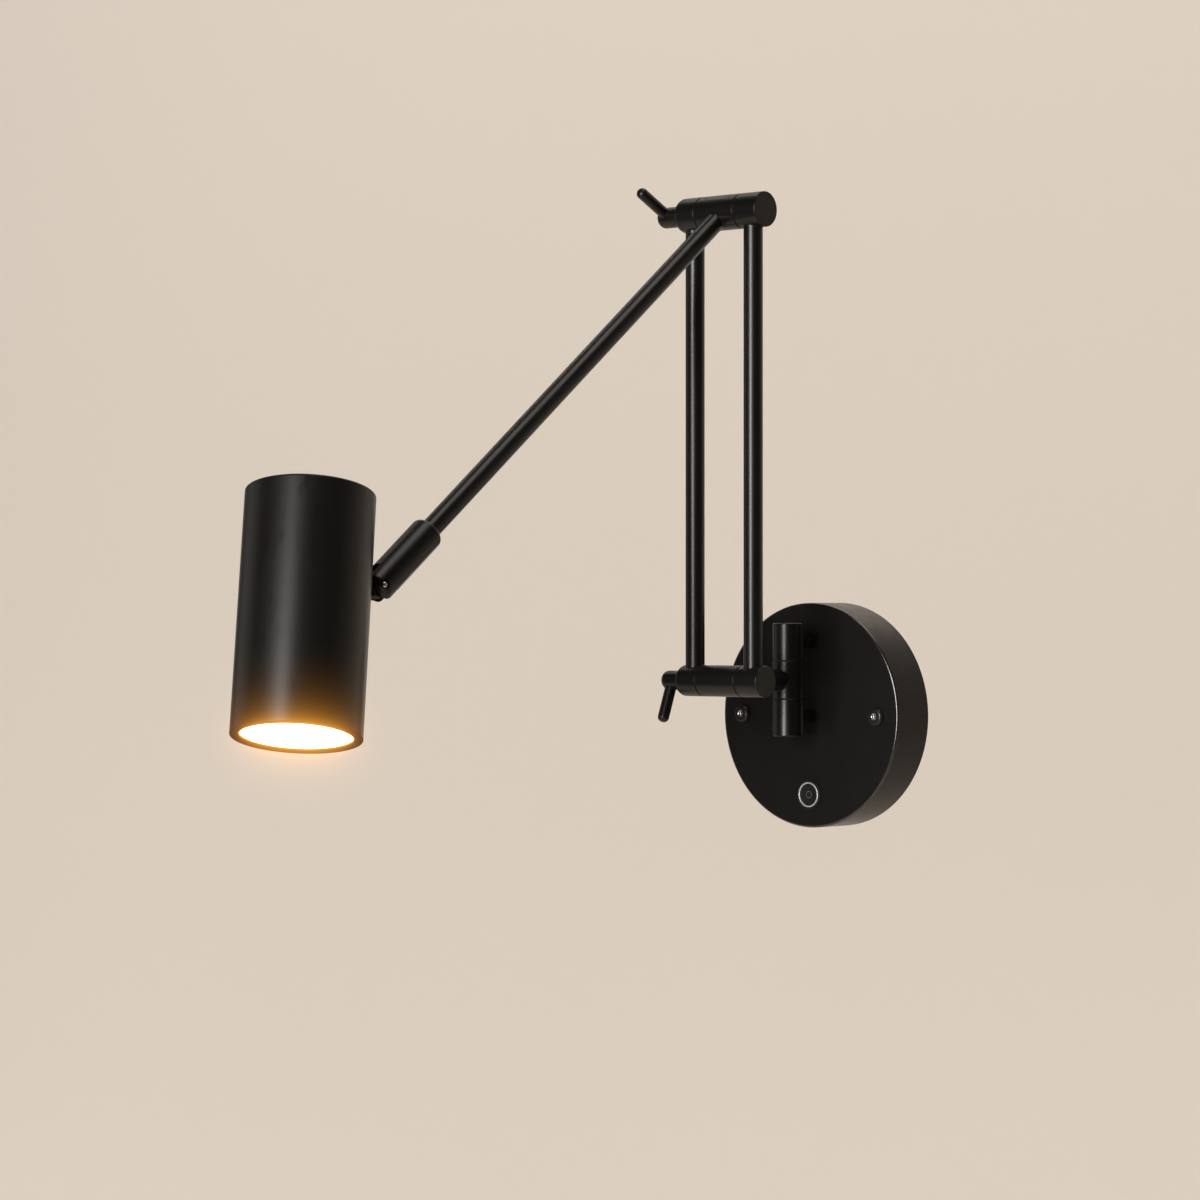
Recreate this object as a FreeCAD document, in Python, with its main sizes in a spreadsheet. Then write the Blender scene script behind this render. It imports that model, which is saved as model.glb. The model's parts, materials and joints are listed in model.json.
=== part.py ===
import FreeCAD, Part
import Sketcher
import math
import os

# Adjustable wall light: a round wall canopy with a push button, a vertical
# swivel hinge, a pair of upright rods between two clamped friction barrels, a
# long upper arm, and a cylindrical lamp head on a swivelling fork.
# The origin is the centre of the wall plate on the wall plane. X runs along the
# wall, Y into the wall and Z upwards. All lengths are millimetres.

SIZES = {
    # Clearances shared by every fit
    "running_clearance": 0.05,
    "thread_clearance": 0.04,
    "seat_clearance": 0.03,
    "hole_clearance": 0.25,
    "face_clearance": 0.05,
    "cut_overrun": 1.0,
    # Canopy cover, a spun steel cup
    "canopy_diameter": 120.0,
    "canopy_depth": 26.0,
    "canopy_skin": 1.5,
    "canopy_edge_radius": 0.9,
    # Wall plate behind the cover
    "wall_plate_margin": 2.5,
    "wall_plate_thickness": 2.0,
    "wall_slot_spacing": 60.0,
    "wall_slot_length": 12.0,
    "wall_slot_width": 4.5,
    # Cable bush in the middle of the wall plate
    "cable_bore_diameter": 10.0,
    "cable_bush_wall": 1.5,
    "cable_bush_flange": 2.5,
    "cable_bush_flange_thickness": 1.2,
    # Cover screws and the hexagonal pillars that take them
    "cover_screw_inset": 14.0,
    "cover_screw_diameter": 5.0,
    "cover_screw_length": 10.0,
    "cover_screw_head_diameter": 9.6,
    "cover_screw_head_height": 2.6,
    "cover_screw_head_radius": 1.7,
    "cover_screw_socket_flats": 3.0,
    "cover_screw_socket_depth": 1.5,
    "pillar_flats": 9.0,
    "pillar_blind_depth": 12.0,
    # Driver housing on the wall plate
    "driver_length": 56.0,
    "driver_width": 23.0,
    "driver_height": 11.0,
    "driver_corner_radius": 3.0,
    "driver_inset": 14.0,
    "driver_ear_length": 7.0,
    "driver_ear_width": 9.0,
    "driver_ear_thickness": 2.0,
    "plate_screw_diameter": 3.0,
    "plate_screw_head_diameter": 5.6,
    "plate_screw_head_height": 2.0,
    "plate_screw_slot_width": 0.8,
    "plate_screw_slot_depth": 0.9,
    # Terminal block and earth screw
    "terminal_pitch": 9.0,
    "terminal_count": 3,
    "terminal_width": 12.8,
    "terminal_height": 11.0,
    "terminal_gap": 4.4,
    "terminal_wire_bore": 4.0,
    "terminal_screw_diameter": 4.0,
    "terminal_screw_depth": 3.0,
    "terminal_screw_recess": 1.0,
    "earth_screw_inset": 18.5,
    "earth_screw_drop": 20.0,
    "earth_screw_washer_diameter": 9.0,
    "earth_screw_washer_thickness": 1.0,
    # Push button in the canopy face
    "button_inset": 17.6,
    "button_flange_diameter": 16.0,
    "button_flange_height": 0.7,
    "button_barrel_diameter": 13.8,
    "button_barrel_length": 10.0,
    "button_ring_diameter": 13.4,
    "button_ring_width": 0.95,
    "button_ring_height": 1.0,
    "button_ring_stand": 0.35,
    "button_cap_clearance": 0.12,
    "button_cap_thickness": 2.6,
    "button_cap_edge_break": 0.3,
    "button_cap_sink": 0.1,
    "button_travel": 1.0,
    "button_floor_gap": 0.4,
    "button_stem_diameter": 4.0,
    "button_nut_flats": 18.0,
    "button_nut_height": 2.2,
    "switch_width": 11.0,
    "switch_height": 6.0,
    "switch_pin_diameter": 1.2,
    "switch_pin_length": 3.0,
    "switch_pin_spacing": 5.0,
    # Swivel hinge on the canopy
    "hinge_standoff": 43.6,
    "hinge_height": 19.2,
    "hinge_diameter": 16.2,
    "hinge_length": 60.0,
    "hinge_edge_break": 0.6,
    "hinge_pin_diameter": 6.0,
    "hinge_pin_head_diameter": 10.0,
    "hinge_pin_head_height": 4.0,
    "hinge_pin_socket_flats": 4.0,
    "hinge_pin_socket_depth": 2.5,
    "hinge_pin_recess": 0.8,
    "hinge_pin_engagement": 13.0,
    "pin_end_gap": 0.5,
    "friction_washer_thickness": 0.5,
    "groove_depth": 0.55,
    # Posts that carry the hinge
    "post_diameter": 8.0,
    "post_stud_diameter": 6.0,
    "post_spigot_diameter": 5.0,
    "post_spigot_length": 2.2,
    "post_seat_depth": 1.3,
    "post_thread_end": 1.0,
    "post_washer_diameter": 12.0,
    "post_washer_thickness": 1.0,
    "post_nut_flats": 10.0,
    "post_nut_height": 4.6,
    "backing_plate_width": 22.0,
    "backing_plate_thickness": 2.0,
    "backing_plate_margin": 7.5,
    "backing_plate_corner": 4.0,
    # Stub from the hinge to the lower barrel
    "barrel_standoff": 95.7,
    "stub_diameter": 11.5,
    "stub_wall": 2.0,
    "stub_seat_depth": 2.7,
    # Friction barrels at both ends of the rods
    "lower_barrel_diameter": 16.4,
    "upper_barrel_diameter": 18.4,
    "barrel_length": 56.8,
    "barrel_middle_length": 25.8,
    "barrel_face_break": 0.5,
    "clamp_bolt_diameter": 6.0,
    "clamp_thread_depth": 9.5,
    "clamp_boss_radius": 3.6,
    "clamp_boss_thread": 3.4,
    "clamp_lever_diameter": 6.0,
    "clamp_lever_inset": 5.4,
    "clamp_lever_seat": 3.0,
    "clamp_lever_tip_radius": 2.6,
    "lower_boss_diameter": 10.2,
    "lower_boss_length": 12.7,
    "lower_lever_reach": 23.2,
    "lower_lever_angle": 159.5,
    "upper_boss_diameter": 11.0,
    "upper_boss_length": 15.0,
    "upper_lever_reach": 26.6,
    "upper_lever_angle": 62.5,
    # Upright rods
    "rod_pivot_spacing": 243.6,
    "rod_inset": 6.4,
    "rod_diameter": 10.0,
    "rod_wall": 1.2,
    "rod_seat_depth": 3.0,
    # Upper arm tube
    "arm_angle": 52.0,
    "arm_length": 318.4,
    "arm_diameter": 10.0,
    "arm_wall": 2.2,
    "arm_groove_depth": 1.0,
    "arm_groove_play": 0.2,
    # Swivel sleeve with the fork
    "head_swivel_angle": 14.7,
    "sleeve_diameter": 16.4,
    "sleeve_length": 44.0,
    "sleeve_socket_depth": 30.0,
    "sleeve_top_radius": 2.5,
    "fork_reach": 7.4,
    "fork_radius": 5.0,
    "fork_slot_depth": 8.0,
    "grub_diameter": 4.0,
    "grub_dog_diameter": 3.0,
    "grub_dog_play": 0.2,
    "grub_recess": 0.3,
    "grub_place": 8.0,
    "grub_socket_flats": 2.0,
    "grub_socket_depth": 1.5,
    # Tilt pin and its washers
    "tilt_pin_diameter": 5.0,
    "tilt_pin_head_diameter": 7.4,
    "tilt_pin_head_height": 1.7,
    "tilt_pin_recess": 0.4,
    "tilt_pin_socket_flats": 2.5,
    "tilt_pin_socket_depth": 1.0,
    "tilt_pin_end_wall": 1.2,
    "tilt_washer_thickness": 0.5,
    "tilt_washer_diameter": 11.0,
    # Lug between the fork and the lamp head
    "head_tilt_angle": 12.4,
    "head_gap": 8.45,
    "lug_thickness": 6.0,
    "lug_height": 14.4,
    "lug_screw_spacing": 8.4,
    "lug_screw_diameter": 3.0,
    "lug_screw_depth": 4.6,
    "lug_screw_head_diameter": 5.4,
    "lug_screw_head_height": 1.8,
    # Lamp head
    "head_diameter": 61.5,
    "head_rise": 37.8,
    "head_drop": 79.9,
    "head_skin": 2.0,
    "head_step": 1.0,
    "head_top_thickness": 3.0,
    "head_edge_radius": 1.1,
    "rim_edge_break": 0.4,
    # Trim ring and diffuser at the mouth of the head
    "trim_lip_width": 1.0,
    "trim_lip_thickness": 1.4,
    "trim_height": 6.0,
    "trim_wall": 1.3,
    "trim_edge_break": 0.4,
    "diffuser_thickness": 2.2,
    # Reflector, light source and heat sink
    "reflector_height": 34.0,
    "reflector_throat_diameter": 17.0,
    "reflector_skin": 1.2,
    "reflector_flange_thickness": 1.5,
    "reflector_flange_width": 2.2,
    "source_diameter": 14.0,
    "source_thickness": 1.0,
    "board_inset": 4.8,
    "board_thickness": 1.6,
    "board_screw_inset": 4.0,
    "board_screw_diameter": 3.0,
    "board_screw_depth": 3.0,
    "board_screw_head_diameter": 5.5,
    "board_screw_head_height": 1.6,
    "sink_base_thickness": 5.0,
    "sink_core_diameter": 16.0,
    "sink_fin_thickness": 1.6,
    "sink_fin_height": 18.0,
    "sink_fin_inset": 2.5,
    "sink_fin_count": 14,
}

FULL_TURN = 360
HALF_TURN = 180
RIGHT_ANGLE = 90
HEXAGON_SIDES = 6
SAME_PLACE = 1e-4

doc = FreeCAD.newDocument("adjustable_wall_light")
sheet = doc.addObject("Spreadsheet::Sheet", "dims")
parts = []


def fill_sheet():
    for row, (alias, size) in enumerate(SIZES.items(), start=1):
        sheet.set("A%d" % row, alias)
        sheet.set("B%d" % row, str(size))
        sheet.setAlias("B%d" % row, alias)
    doc.recompute()


def read(formula):
    # The present value of a formula over the sheet
    return float(sheet.evalExpression(formula))


# Frames: each one is a formula for a placement


def frame(x="0", y="0", z="0", axis="0; 0; 1", angle="0"):
    return "placement(vector(%s; %s; %s); rotation(vector(%s); %s))" % (x, y, z, axis, angle)


def joined(*frames):
    return " * ".join(frames)


LOWER_PIVOT_HEIGHT = "dims.hinge_height"
UPPER_PIVOT_HEIGHT = "(dims.hinge_height + dims.rod_pivot_spacing)"

# Local Z points out of the wall and local Y upwards
WALL = frame(axis="1; 0; 0", angle="90")
# Local Z is the hinge axis
HINGE = frame(y="-dims.hinge_standoff", z="dims.hinge_height")
# Local Z is the barrel axis, local X points up and local Y into the room
ALONG_BARREL = joined(frame(axis="0; 1; 0", angle="90"), frame(angle="180"))
LOWER_BARREL = joined(frame(y="-dims.barrel_standoff", z=LOWER_PIVOT_HEIGHT), ALONG_BARREL)
UPPER_BARREL = joined(frame(y="-dims.barrel_standoff", z=UPPER_PIVOT_HEIGHT), ALONG_BARREL)
# Local Z runs down the upper arm from the upper pivot
ARM = frame(y="-dims.barrel_standoff", z=UPPER_PIVOT_HEIGHT, axis="1; 0; 0", angle="180 - dims.arm_angle")
# The fork's pin lies on local X and the arm comes in from negative Z
SLEEVE = joined(ARM, frame(z="dims.arm_length", angle="dims.head_swivel_angle"))
# The lamp's axis is parallel to local Z and lies at negative Y
HEAD = joined(SLEEVE, frame(axis="1; 0; 0", angle="dims.arm_angle - 180 - dims.head_tilt_angle"))
HEAD_OFFSET = "(dims.head_diameter / 2 + dims.head_gap)"
LAMP = joined(HEAD, frame(y="-" + HEAD_OFFSET))
# Turns a piece that is drawn along Z so that it lies along X
ALONG_X = frame(axis="0; 1; 0", angle="90")


# Sketches and features


def new_body(label, place):
    owner = doc.addObject("PartDesign::Body", label)
    owner.Label = label
    owner.setExpression("Placement", place)
    return owner


def attach(feature, owner, role, lift="0"):
    # Puts a feature on one of the body's own planes, raised by the lift
    plane = [item for item in owner.Origin.OriginFeatures if item.Role == role][0]
    feature.AttachmentSupport = [(plane, "")]
    feature.MapMode = "FlatFace"
    feature.setExpression("AttachmentOffset.Base.z", lift)


def new_sketch(owner, name, role, lift="0"):
    sketch = owner.newObject("Sketcher::SketchObject", name)
    attach(sketch, owner, role, lift)
    return sketch


def bind(sketch, kind, *where):
    # Adds a dimension whose size follows a formula
    formula = where[-1]
    index = sketch.addConstraint(Sketcher.Constraint(kind, *where[:-1], read(formula)))
    sketch.setExpression("Constraints[%d]" % index, formula)


def bind_point(sketch, geometry, end, x, y):
    bind(sketch, "DistanceX", -1, 1, geometry, end, x)
    bind(sketch, "DistanceY", -1, 1, geometry, end, y)


def circles(owner, name, role, rings, lift="0"):
    # Each ring is its centre's two coordinates and its radius
    sketch = new_sketch(owner, name, role, lift)
    for x, y, radius in rings:
        centre = FreeCAD.Vector(read(x), read(y), 0)
        ring = sketch.addGeometry(Part.Circle(centre, FreeCAD.Vector(0, 0, 1), read(radius)))
        bind_point(sketch, ring, 3, x, y)
        bind(sketch, "Radius", ring, radius)
    return sketch


def outline(owner, name, role, corners, lift="0"):
    # A closed outline of straight lines through the corners
    sketch = new_sketch(owner, name, role, lift)
    points = [FreeCAD.Vector(read(x), read(y), 0) for x, y in corners]
    count = len(points)
    for index in range(count):
        sketch.addGeometry(Part.LineSegment(points[index], points[(index + 1) % count]))
    for index in range(count):
        sketch.addConstraint(Sketcher.Constraint("Coincident", index, 2, (index + 1) % count, 1))
    for index, (x, y) in enumerate(corners):
        bind_point(sketch, index, 1, x, y)
    return sketch


def rectangle(owner, name, role, width, height, lift="0"):
    right = "(%s) / 2" % width
    high = "(%s) / 2" % height
    left = "-" + right
    low = "-" + high
    return outline(owner, name, role, [(left, low), (right, low), (right, high), (left, high)], lift)


def slot(owner, name, role, x, length, width):
    # A level slot with round ends, centred at x on the horizontal axis
    sketch = new_sketch(owner, name, role)
    radius = "(%s) / 2" % width
    near = "%s - ((%s) - (%s)) / 2" % (x, length, width)
    far = "%s + ((%s) - (%s)) / 2" % (x, length, width)
    half = FreeCAD.Vector(0, read(radius), 0)
    up = FreeCAD.Vector(0, 0, 1)
    ends = [FreeCAD.Vector(read(near), 0, 0), FreeCAD.Vector(read(far), 0, 0)]
    sketch.addGeometry(Part.LineSegment(ends[0] + half, ends[1] + half))
    sketch.addGeometry(Part.LineSegment(ends[1] - half, ends[0] - half))
    quarter = math.pi / 2
    sketch.addGeometry(Part.ArcOfCircle(Part.Circle(ends[1], up, read(radius)), -quarter, quarter))
    sketch.addGeometry(Part.ArcOfCircle(Part.Circle(ends[0], up, read(radius)), quarter, 3 * quarter))
    for line, line_end, arc, arc_end in ((0, 2, 2, 2), (1, 1, 2, 1), (1, 2, 3, 2), (0, 1, 3, 1)):
        sketch.addConstraint(Sketcher.Constraint("Tangent", line, line_end, arc, arc_end))
    bind_point(sketch, 2, 3, far, "0")
    bind_point(sketch, 3, 3, near, "0")
    bind(sketch, "Radius", 2, radius)
    return sketch


def extrude(owner, kind, sketch, length, backwards=False, centred=False):
    feature = owner.newObject("PartDesign::" + kind, kind.lower() + "_" + sketch.Label)
    feature.Profile = sketch
    feature.setExpression("Length", length)
    feature.Midplane = centred
    feature.Reversed = backwards
    doc.recompute()
    return feature


def pad(owner, sketch, length, backwards=False, centred=False):
    return extrude(owner, "Pad", sketch, length, backwards, centred)


def pocket(owner, sketch, length, backwards=False, centred=False):
    before = owner.Shape.Volume
    feature = extrude(owner, "Pocket", sketch, length, backwards, centred)
    if owner.Shape.Volume >= before:
        raise RuntimeError(owner.Label + ": " + sketch.Label + " cuts nothing")
    return feature


def turned(owner, name, profile):
    # Profile corners are a radius and a height on the body's own axis
    feature = owner.newObject("PartDesign::Revolution", "turn_" + name)
    feature.Profile = outline(owner, name, "XZ_Plane", profile)
    feature.ReferenceAxis = (feature.Profile[0], ["V_Axis"])
    feature.Angle = FULL_TURN
    doc.recompute()
    return feature


def prism(owner, kind, name, flats, height, lift="0"):
    # A hexagonal prism on the body's axis, measured across its flats
    feature = owner.newObject("PartDesign::%sPrism" % kind, name)
    feature.Polygon = HEXAGON_SIDES
    feature.setExpression("Circumradius", "(%s) / 2 / cos(30)" % flats)
    feature.setExpression("Height", height)
    attach(feature, owner, "XY_Plane", lift)
    doc.recompute()
    return feature


def rims(feature, *wanted):
    # Names the round edges that lie at the wanted radius and height
    sizes = [(read(radius), read(height)) for radius, height in wanted]
    names = []
    for index, edge in enumerate(feature.Shape.Edges, start=1):
        if not isinstance(edge.Curve, Part.Circle):
            continue
        for radius, height in sizes:
            level = abs(edge.Curve.Center.z - height) < SAME_PLACE
            if level and abs(edge.Curve.Radius - radius) < SAME_PLACE:
                names.append("Edge%d" % index)
    return names


def uprights(feature):
    # Names the straight edges that run along Z
    names = []
    for index, edge in enumerate(feature.Shape.Edges, start=1):
        if isinstance(edge.Curve, Part.Line) and abs(edge.Curve.Direction.z) > 1 - SAME_PLACE:
            names.append("Edge%d" % index)
    return names


def eased(owner, kind, name, feature, edges, measure, size):
    if not edges:
        raise RuntimeError(owner.Label + ": " + name + " finds no edge")
    edge_work = owner.newObject("PartDesign::" + kind, name)
    edge_work.Base = (feature, edges)
    edge_work.setExpression(measure, size)
    doc.recompute()
    return edge_work


def fillet(owner, name, feature, edges, radius):
    return eased(owner, "Fillet", name, feature, edges, "Radius", radius)


def chamfer(owner, name, feature, edges, width):
    return eased(owner, "Chamfer", name, feature, edges, "Size", width)


def keep(part):
    # Enters a finished sub-part in the list that is exported
    parts.append(part)
    return part


def keep_group(label, members):
    # Identical pieces share one node as separate solids
    group = doc.addObject("Part::Compound", label)
    group.Label = label
    group.Links = members
    return keep(group)


# Canopy and what it holds

PILLAR_REACH = "(dims.canopy_depth - dims.canopy_skin)"
CANOPY_RADIUS = "(dims.canopy_diameter / 2)"
CANOPY_INSIDE = "(%s - dims.canopy_skin)" % CANOPY_RADIUS
COVER_SCREW_PLACE = "(%s - dims.cover_screw_inset)" % CANOPY_RADIUS
BUTTON_DROP = "(%s - dims.button_inset)" % CANOPY_RADIUS
DRIVER_RISE = "(%s - dims.driver_inset - dims.driver_width / 2)" % CANOPY_INSIDE
EARTH_SCREW_PLACE = "(%s - dims.earth_screw_inset)" % CANOPY_INSIDE
BUSH_NECK = "(dims.cable_bore_diameter / 2 + dims.cable_bush_wall)"
BUSH_FLANGE = "(%s + dims.cable_bush_flange)" % BUSH_NECK
TERMINAL_DROP = "(%s + dims.terminal_gap + dims.terminal_width / 2)" % BUSH_FLANGE
HINGE_PITCH = "((dims.hinge_length + dims.friction_washer_thickness + 2 * dims.face_clearance) / 3)"
POST_LEVELS = {
    "upper": "(dims.hinge_height + %s)" % HINGE_PITCH,
    "lower": "(dims.hinge_height - %s)" % HINGE_PITCH,
}


def canopy_cover():
    cover = new_body("canopy_cover", WALL)
    rim = CANOPY_RADIUS
    cup = turned(cover, "cup", [
        ("0", PILLAR_REACH),
        (CANOPY_INSIDE, PILLAR_REACH),
        (CANOPY_INSIDE, "0"),
        (rim, "0"),
        (rim, "dims.canopy_depth"),
        ("0", "dims.canopy_depth"),
    ])
    fillet(cover, "front_edge", cup, rims(cup, (rim, "dims.canopy_depth")), "dims.canopy_edge_radius")
    screw_hole = "dims.cover_screw_diameter / 2 + dims.hole_clearance"
    stud_hole = "dims.post_stud_diameter / 2 + dims.hole_clearance"
    button_hole = "dims.button_barrel_diameter / 2 + dims.hole_clearance"
    holes = circles(cover, "face_holes", "XY_Plane", [
        (COVER_SCREW_PLACE, "0", screw_hole),
        ("-" + COVER_SCREW_PLACE, "0", screw_hole),
        ("0", POST_LEVELS["upper"], stud_hole),
        ("0", POST_LEVELS["lower"], stud_hole),
        ("0", "-" + BUTTON_DROP, button_hole),
    ])
    pocket(cover, holes, "dims.canopy_depth + dims.cut_overrun", backwards=True)
    keep(cover)


def wall_plate():
    plate = new_body("wall_plate", WALL)
    disc = circles(plate, "disc", "XY_Plane", [("0", "0", "%s - dims.wall_plate_margin" % CANOPY_INSIDE)])
    pad(plate, disc, "dims.wall_plate_thickness")
    through = "dims.wall_plate_thickness + dims.cut_overrun"
    for side, sign in (("left", "-"), ("right", "")):
        hole = slot(plate, side + "_slot", "XY_Plane", sign + "dims.wall_slot_spacing / 2",
                    "dims.wall_slot_length", "dims.wall_slot_width")
        pocket(plate, hole, through, backwards=True)
    screw = "dims.plate_screw_diameter / 2 + dims.thread_clearance"
    holes = circles(plate, "fixing_holes", "XY_Plane", [
        ("0", "0", "%s + dims.seat_clearance" % BUSH_NECK),
        (DRIVER_SCREW_PLACE, DRIVER_RISE, screw),
        ("-" + DRIVER_SCREW_PLACE, DRIVER_RISE, screw),
        (EARTH_SCREW_PLACE, "-dims.earth_screw_drop", screw),
    ])
    pocket(plate, holes, through, backwards=True)
    keep(plate)


def cable_bush():
    bush = new_body("cable_bush", WALL)
    bore = "dims.cable_bore_diameter / 2"
    front = "dims.wall_plate_thickness + dims.cable_bush_flange_thickness"
    turned(bush, "bush", [
        (bore, "0"),
        (BUSH_NECK, "0"),
        (BUSH_NECK, "dims.wall_plate_thickness"),
        (BUSH_FLANGE, "dims.wall_plate_thickness"),
        (BUSH_FLANGE, front),
        (bore, front),
    ])
    keep(bush)


def cover_pillars():
    pillars = []
    for side, sign in (("left", "-"), ("right", "")):
        place = frame(x=sign + COVER_SCREW_PLACE, z="dims.wall_plate_thickness")
        pillar = new_body("pillar_" + side, joined(WALL, place))
        height = "%s - dims.wall_plate_thickness" % PILLAR_REACH
        prism(pillar, "Additive", "hexagon", "dims.pillar_flats", height)
        bore = "dims.cover_screw_diameter / 2 + dims.thread_clearance"
        hole = circles(pillar, "tapped_hole", "XY_Plane", [("0", "0", bore)], lift=height)
        pocket(pillar, hole, "dims.pillar_blind_depth")
        pillars.append(pillar)
    keep_group("cover_pillars", pillars)


def cover_screws():
    screws = []
    for side, sign in (("left", "-"), ("right", "")):
        place = frame(x=sign + COVER_SCREW_PLACE, z="dims.canopy_depth")
        screw = new_body("cover_screw_" + side, joined(WALL, place))
        shank = "dims.cover_screw_diameter / 2"
        head = "dims.cover_screw_head_diameter / 2"
        top = "dims.cover_screw_head_height"
        blank = turned(screw, "blank", [
            ("0", "-dims.cover_screw_length"),
            (shank, "-dims.cover_screw_length"),
            (shank, "0"),
            (head, "0"),
            (head, top),
            ("0", top),
        ])
        fillet(screw, "dome", blank, rims(blank, (head, top)), "dims.cover_screw_head_radius")
        prism(screw, "Subtractive", "socket", "dims.cover_screw_socket_flats",
              "dims.cover_screw_socket_depth + dims.cut_overrun",
              lift="%s - dims.cover_screw_socket_depth" % top)
        screws.append(screw)
    keep_group("cover_screws", screws)


def slotted_screw(label, place, head, head_height, shank, depth, slot_along="0"):
    # A cheese-head screw whose head rests on z = 0
    screw = new_body(label, joined(place, frame(angle=slot_along)))
    turned(screw, "blank", [
        ("0", "-(%s)" % depth),
        (shank, "-(%s)" % depth),
        (shank, "0"),
        (head, "0"),
        (head, head_height),
        ("0", head_height),
    ])
    groove = rectangle(screw, "driver_slot", "XY_Plane", "2 * (%s) + dims.cut_overrun" % head,
                       "dims.plate_screw_slot_width", lift=head_height)
    pocket(screw, groove, "dims.plate_screw_slot_depth")
    return screw


PLATE_FRONT = "dims.wall_plate_thickness"
DRIVER_SCREW_PLACE = "(dims.driver_length / 2 + dims.driver_ear_length / 2)"


def driver_housing():
    housing = new_body("driver_housing", joined(WALL, frame(y=DRIVER_RISE, z=PLATE_FRONT)))
    box = pad(housing, rectangle(housing, "box", "XY_Plane", "dims.driver_length", "dims.driver_width"),
              "dims.driver_height")
    fillet(housing, "box_corners", box, uprights(box), "dims.driver_corner_radius")
    ears = rectangle(housing, "ears", "XY_Plane", "dims.driver_length + 2 * dims.driver_ear_length",
                     "dims.driver_ear_width")
    pad(housing, ears, "dims.driver_ear_thickness")
    hole = "dims.plate_screw_diameter / 2 + dims.hole_clearance"
    holes = circles(housing, "ear_holes", "XY_Plane", [
        (DRIVER_SCREW_PLACE, "0", hole),
        ("-" + DRIVER_SCREW_PLACE, "0", hole),
    ])
    pocket(housing, holes, "dims.driver_ear_thickness + dims.cut_overrun", backwards=True)
    keep(housing)


def driver_screws():
    screws = []
    for side, sign in (("left", "-"), ("right", "")):
        place = frame(x=sign + DRIVER_SCREW_PLACE, y=DRIVER_RISE,
                      z="%s + dims.driver_ear_thickness" % PLATE_FRONT)
        screws.append(slotted_screw("driver_screw_" + side, joined(WALL, place),
                                    "dims.plate_screw_head_diameter / 2", "dims.plate_screw_head_height",
                                    "dims.plate_screw_diameter / 2",
                                    "dims.driver_ear_thickness + dims.wall_plate_thickness"))
    keep_group("driver_screws", screws)


TERMINAL_LENGTH = "(dims.terminal_count * dims.terminal_pitch)"


def terminal_places():
    count = int(read("dims.terminal_count"))
    return ["(%d - (dims.terminal_count - 1) / 2) * dims.terminal_pitch" % index for index in range(count)]


def terminal_block():
    block = new_body("terminal_block", joined(WALL, frame(y="-" + TERMINAL_DROP, z=PLATE_FRONT)))
    box = rectangle(block, "box", "XY_Plane", TERMINAL_LENGTH, "dims.terminal_width")
    pad(block, box, "dims.terminal_height")
    wire = "dims.terminal_wire_bore / 2"
    bores = circles(block, "wire_bores", "XZ_Plane",
                    [(place, "dims.terminal_height / 2 - dims.terminal_screw_recess", wire)
                     for place in terminal_places()])
    pocket(block, bores, "dims.terminal_width + dims.cut_overrun", centred=True)
    well = "dims.terminal_screw_diameter / 2 + dims.thread_clearance"
    wells = circles(block, "screw_wells", "XY_Plane",
                    [(place, "0", well) for place in terminal_places()], lift="dims.terminal_height")
    pocket(block, wells, "dims.terminal_screw_depth + dims.terminal_screw_recess")
    keep(block)


def terminal_screws():
    screws = []
    for index, place in enumerate(terminal_places(), start=1):
        top = "%s + dims.terminal_height - dims.terminal_screw_recess" % PLATE_FRONT
        seat = joined(WALL, frame(x=place, y="-" + TERMINAL_DROP, z=top))
        screw = new_body("terminal_screw_%d" % index, seat)
        disc = circles(screw, "shank", "XY_Plane", [("0", "0", "dims.terminal_screw_diameter / 2")])
        pad(screw, disc, "dims.terminal_screw_depth", backwards=True)
        groove = rectangle(screw, "driver_slot", "XY_Plane",
                           "dims.terminal_screw_diameter + dims.cut_overrun", "dims.plate_screw_slot_width")
        pocket(screw, groove, "dims.plate_screw_slot_depth")
        screws.append(screw)
    keep_group("terminal_screws", screws)


def earth_screw():
    place = frame(x=EARTH_SCREW_PLACE, y="-dims.earth_screw_drop", z=PLATE_FRONT)
    seat = joined(WALL, place, frame(z="dims.earth_screw_washer_thickness"))
    screw = slotted_screw("earth_screw_shank", seat, "dims.plate_screw_head_diameter / 2",
                          "dims.plate_screw_head_height", "dims.plate_screw_diameter / 2",
                          "dims.earth_screw_washer_thickness + dims.wall_plate_thickness")
    washer = new_body("earth_screw_washer", joined(WALL, place))
    ring = circles(washer, "ring", "XY_Plane", [
        ("0", "0", "dims.earth_screw_washer_diameter / 2"),
        ("0", "0", "dims.plate_screw_diameter / 2 + dims.hole_clearance"),
    ])
    pad(washer, ring, "dims.earth_screw_washer_thickness")
    keep_group("earth_screw", [screw, washer])


# Push button

BUTTON = joined(WALL, frame(y="-" + BUTTON_DROP, z="dims.canopy_depth"))
RING_INSIDE = "(dims.button_ring_diameter / 2 - dims.button_ring_width)"
CAP_UNDERSIDE = "(dims.button_flange_height - dims.button_cap_sink - dims.button_cap_thickness)"
CAP_FLOOR = "(%s - dims.button_travel - dims.button_floor_gap)" % CAP_UNDERSIDE


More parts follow.
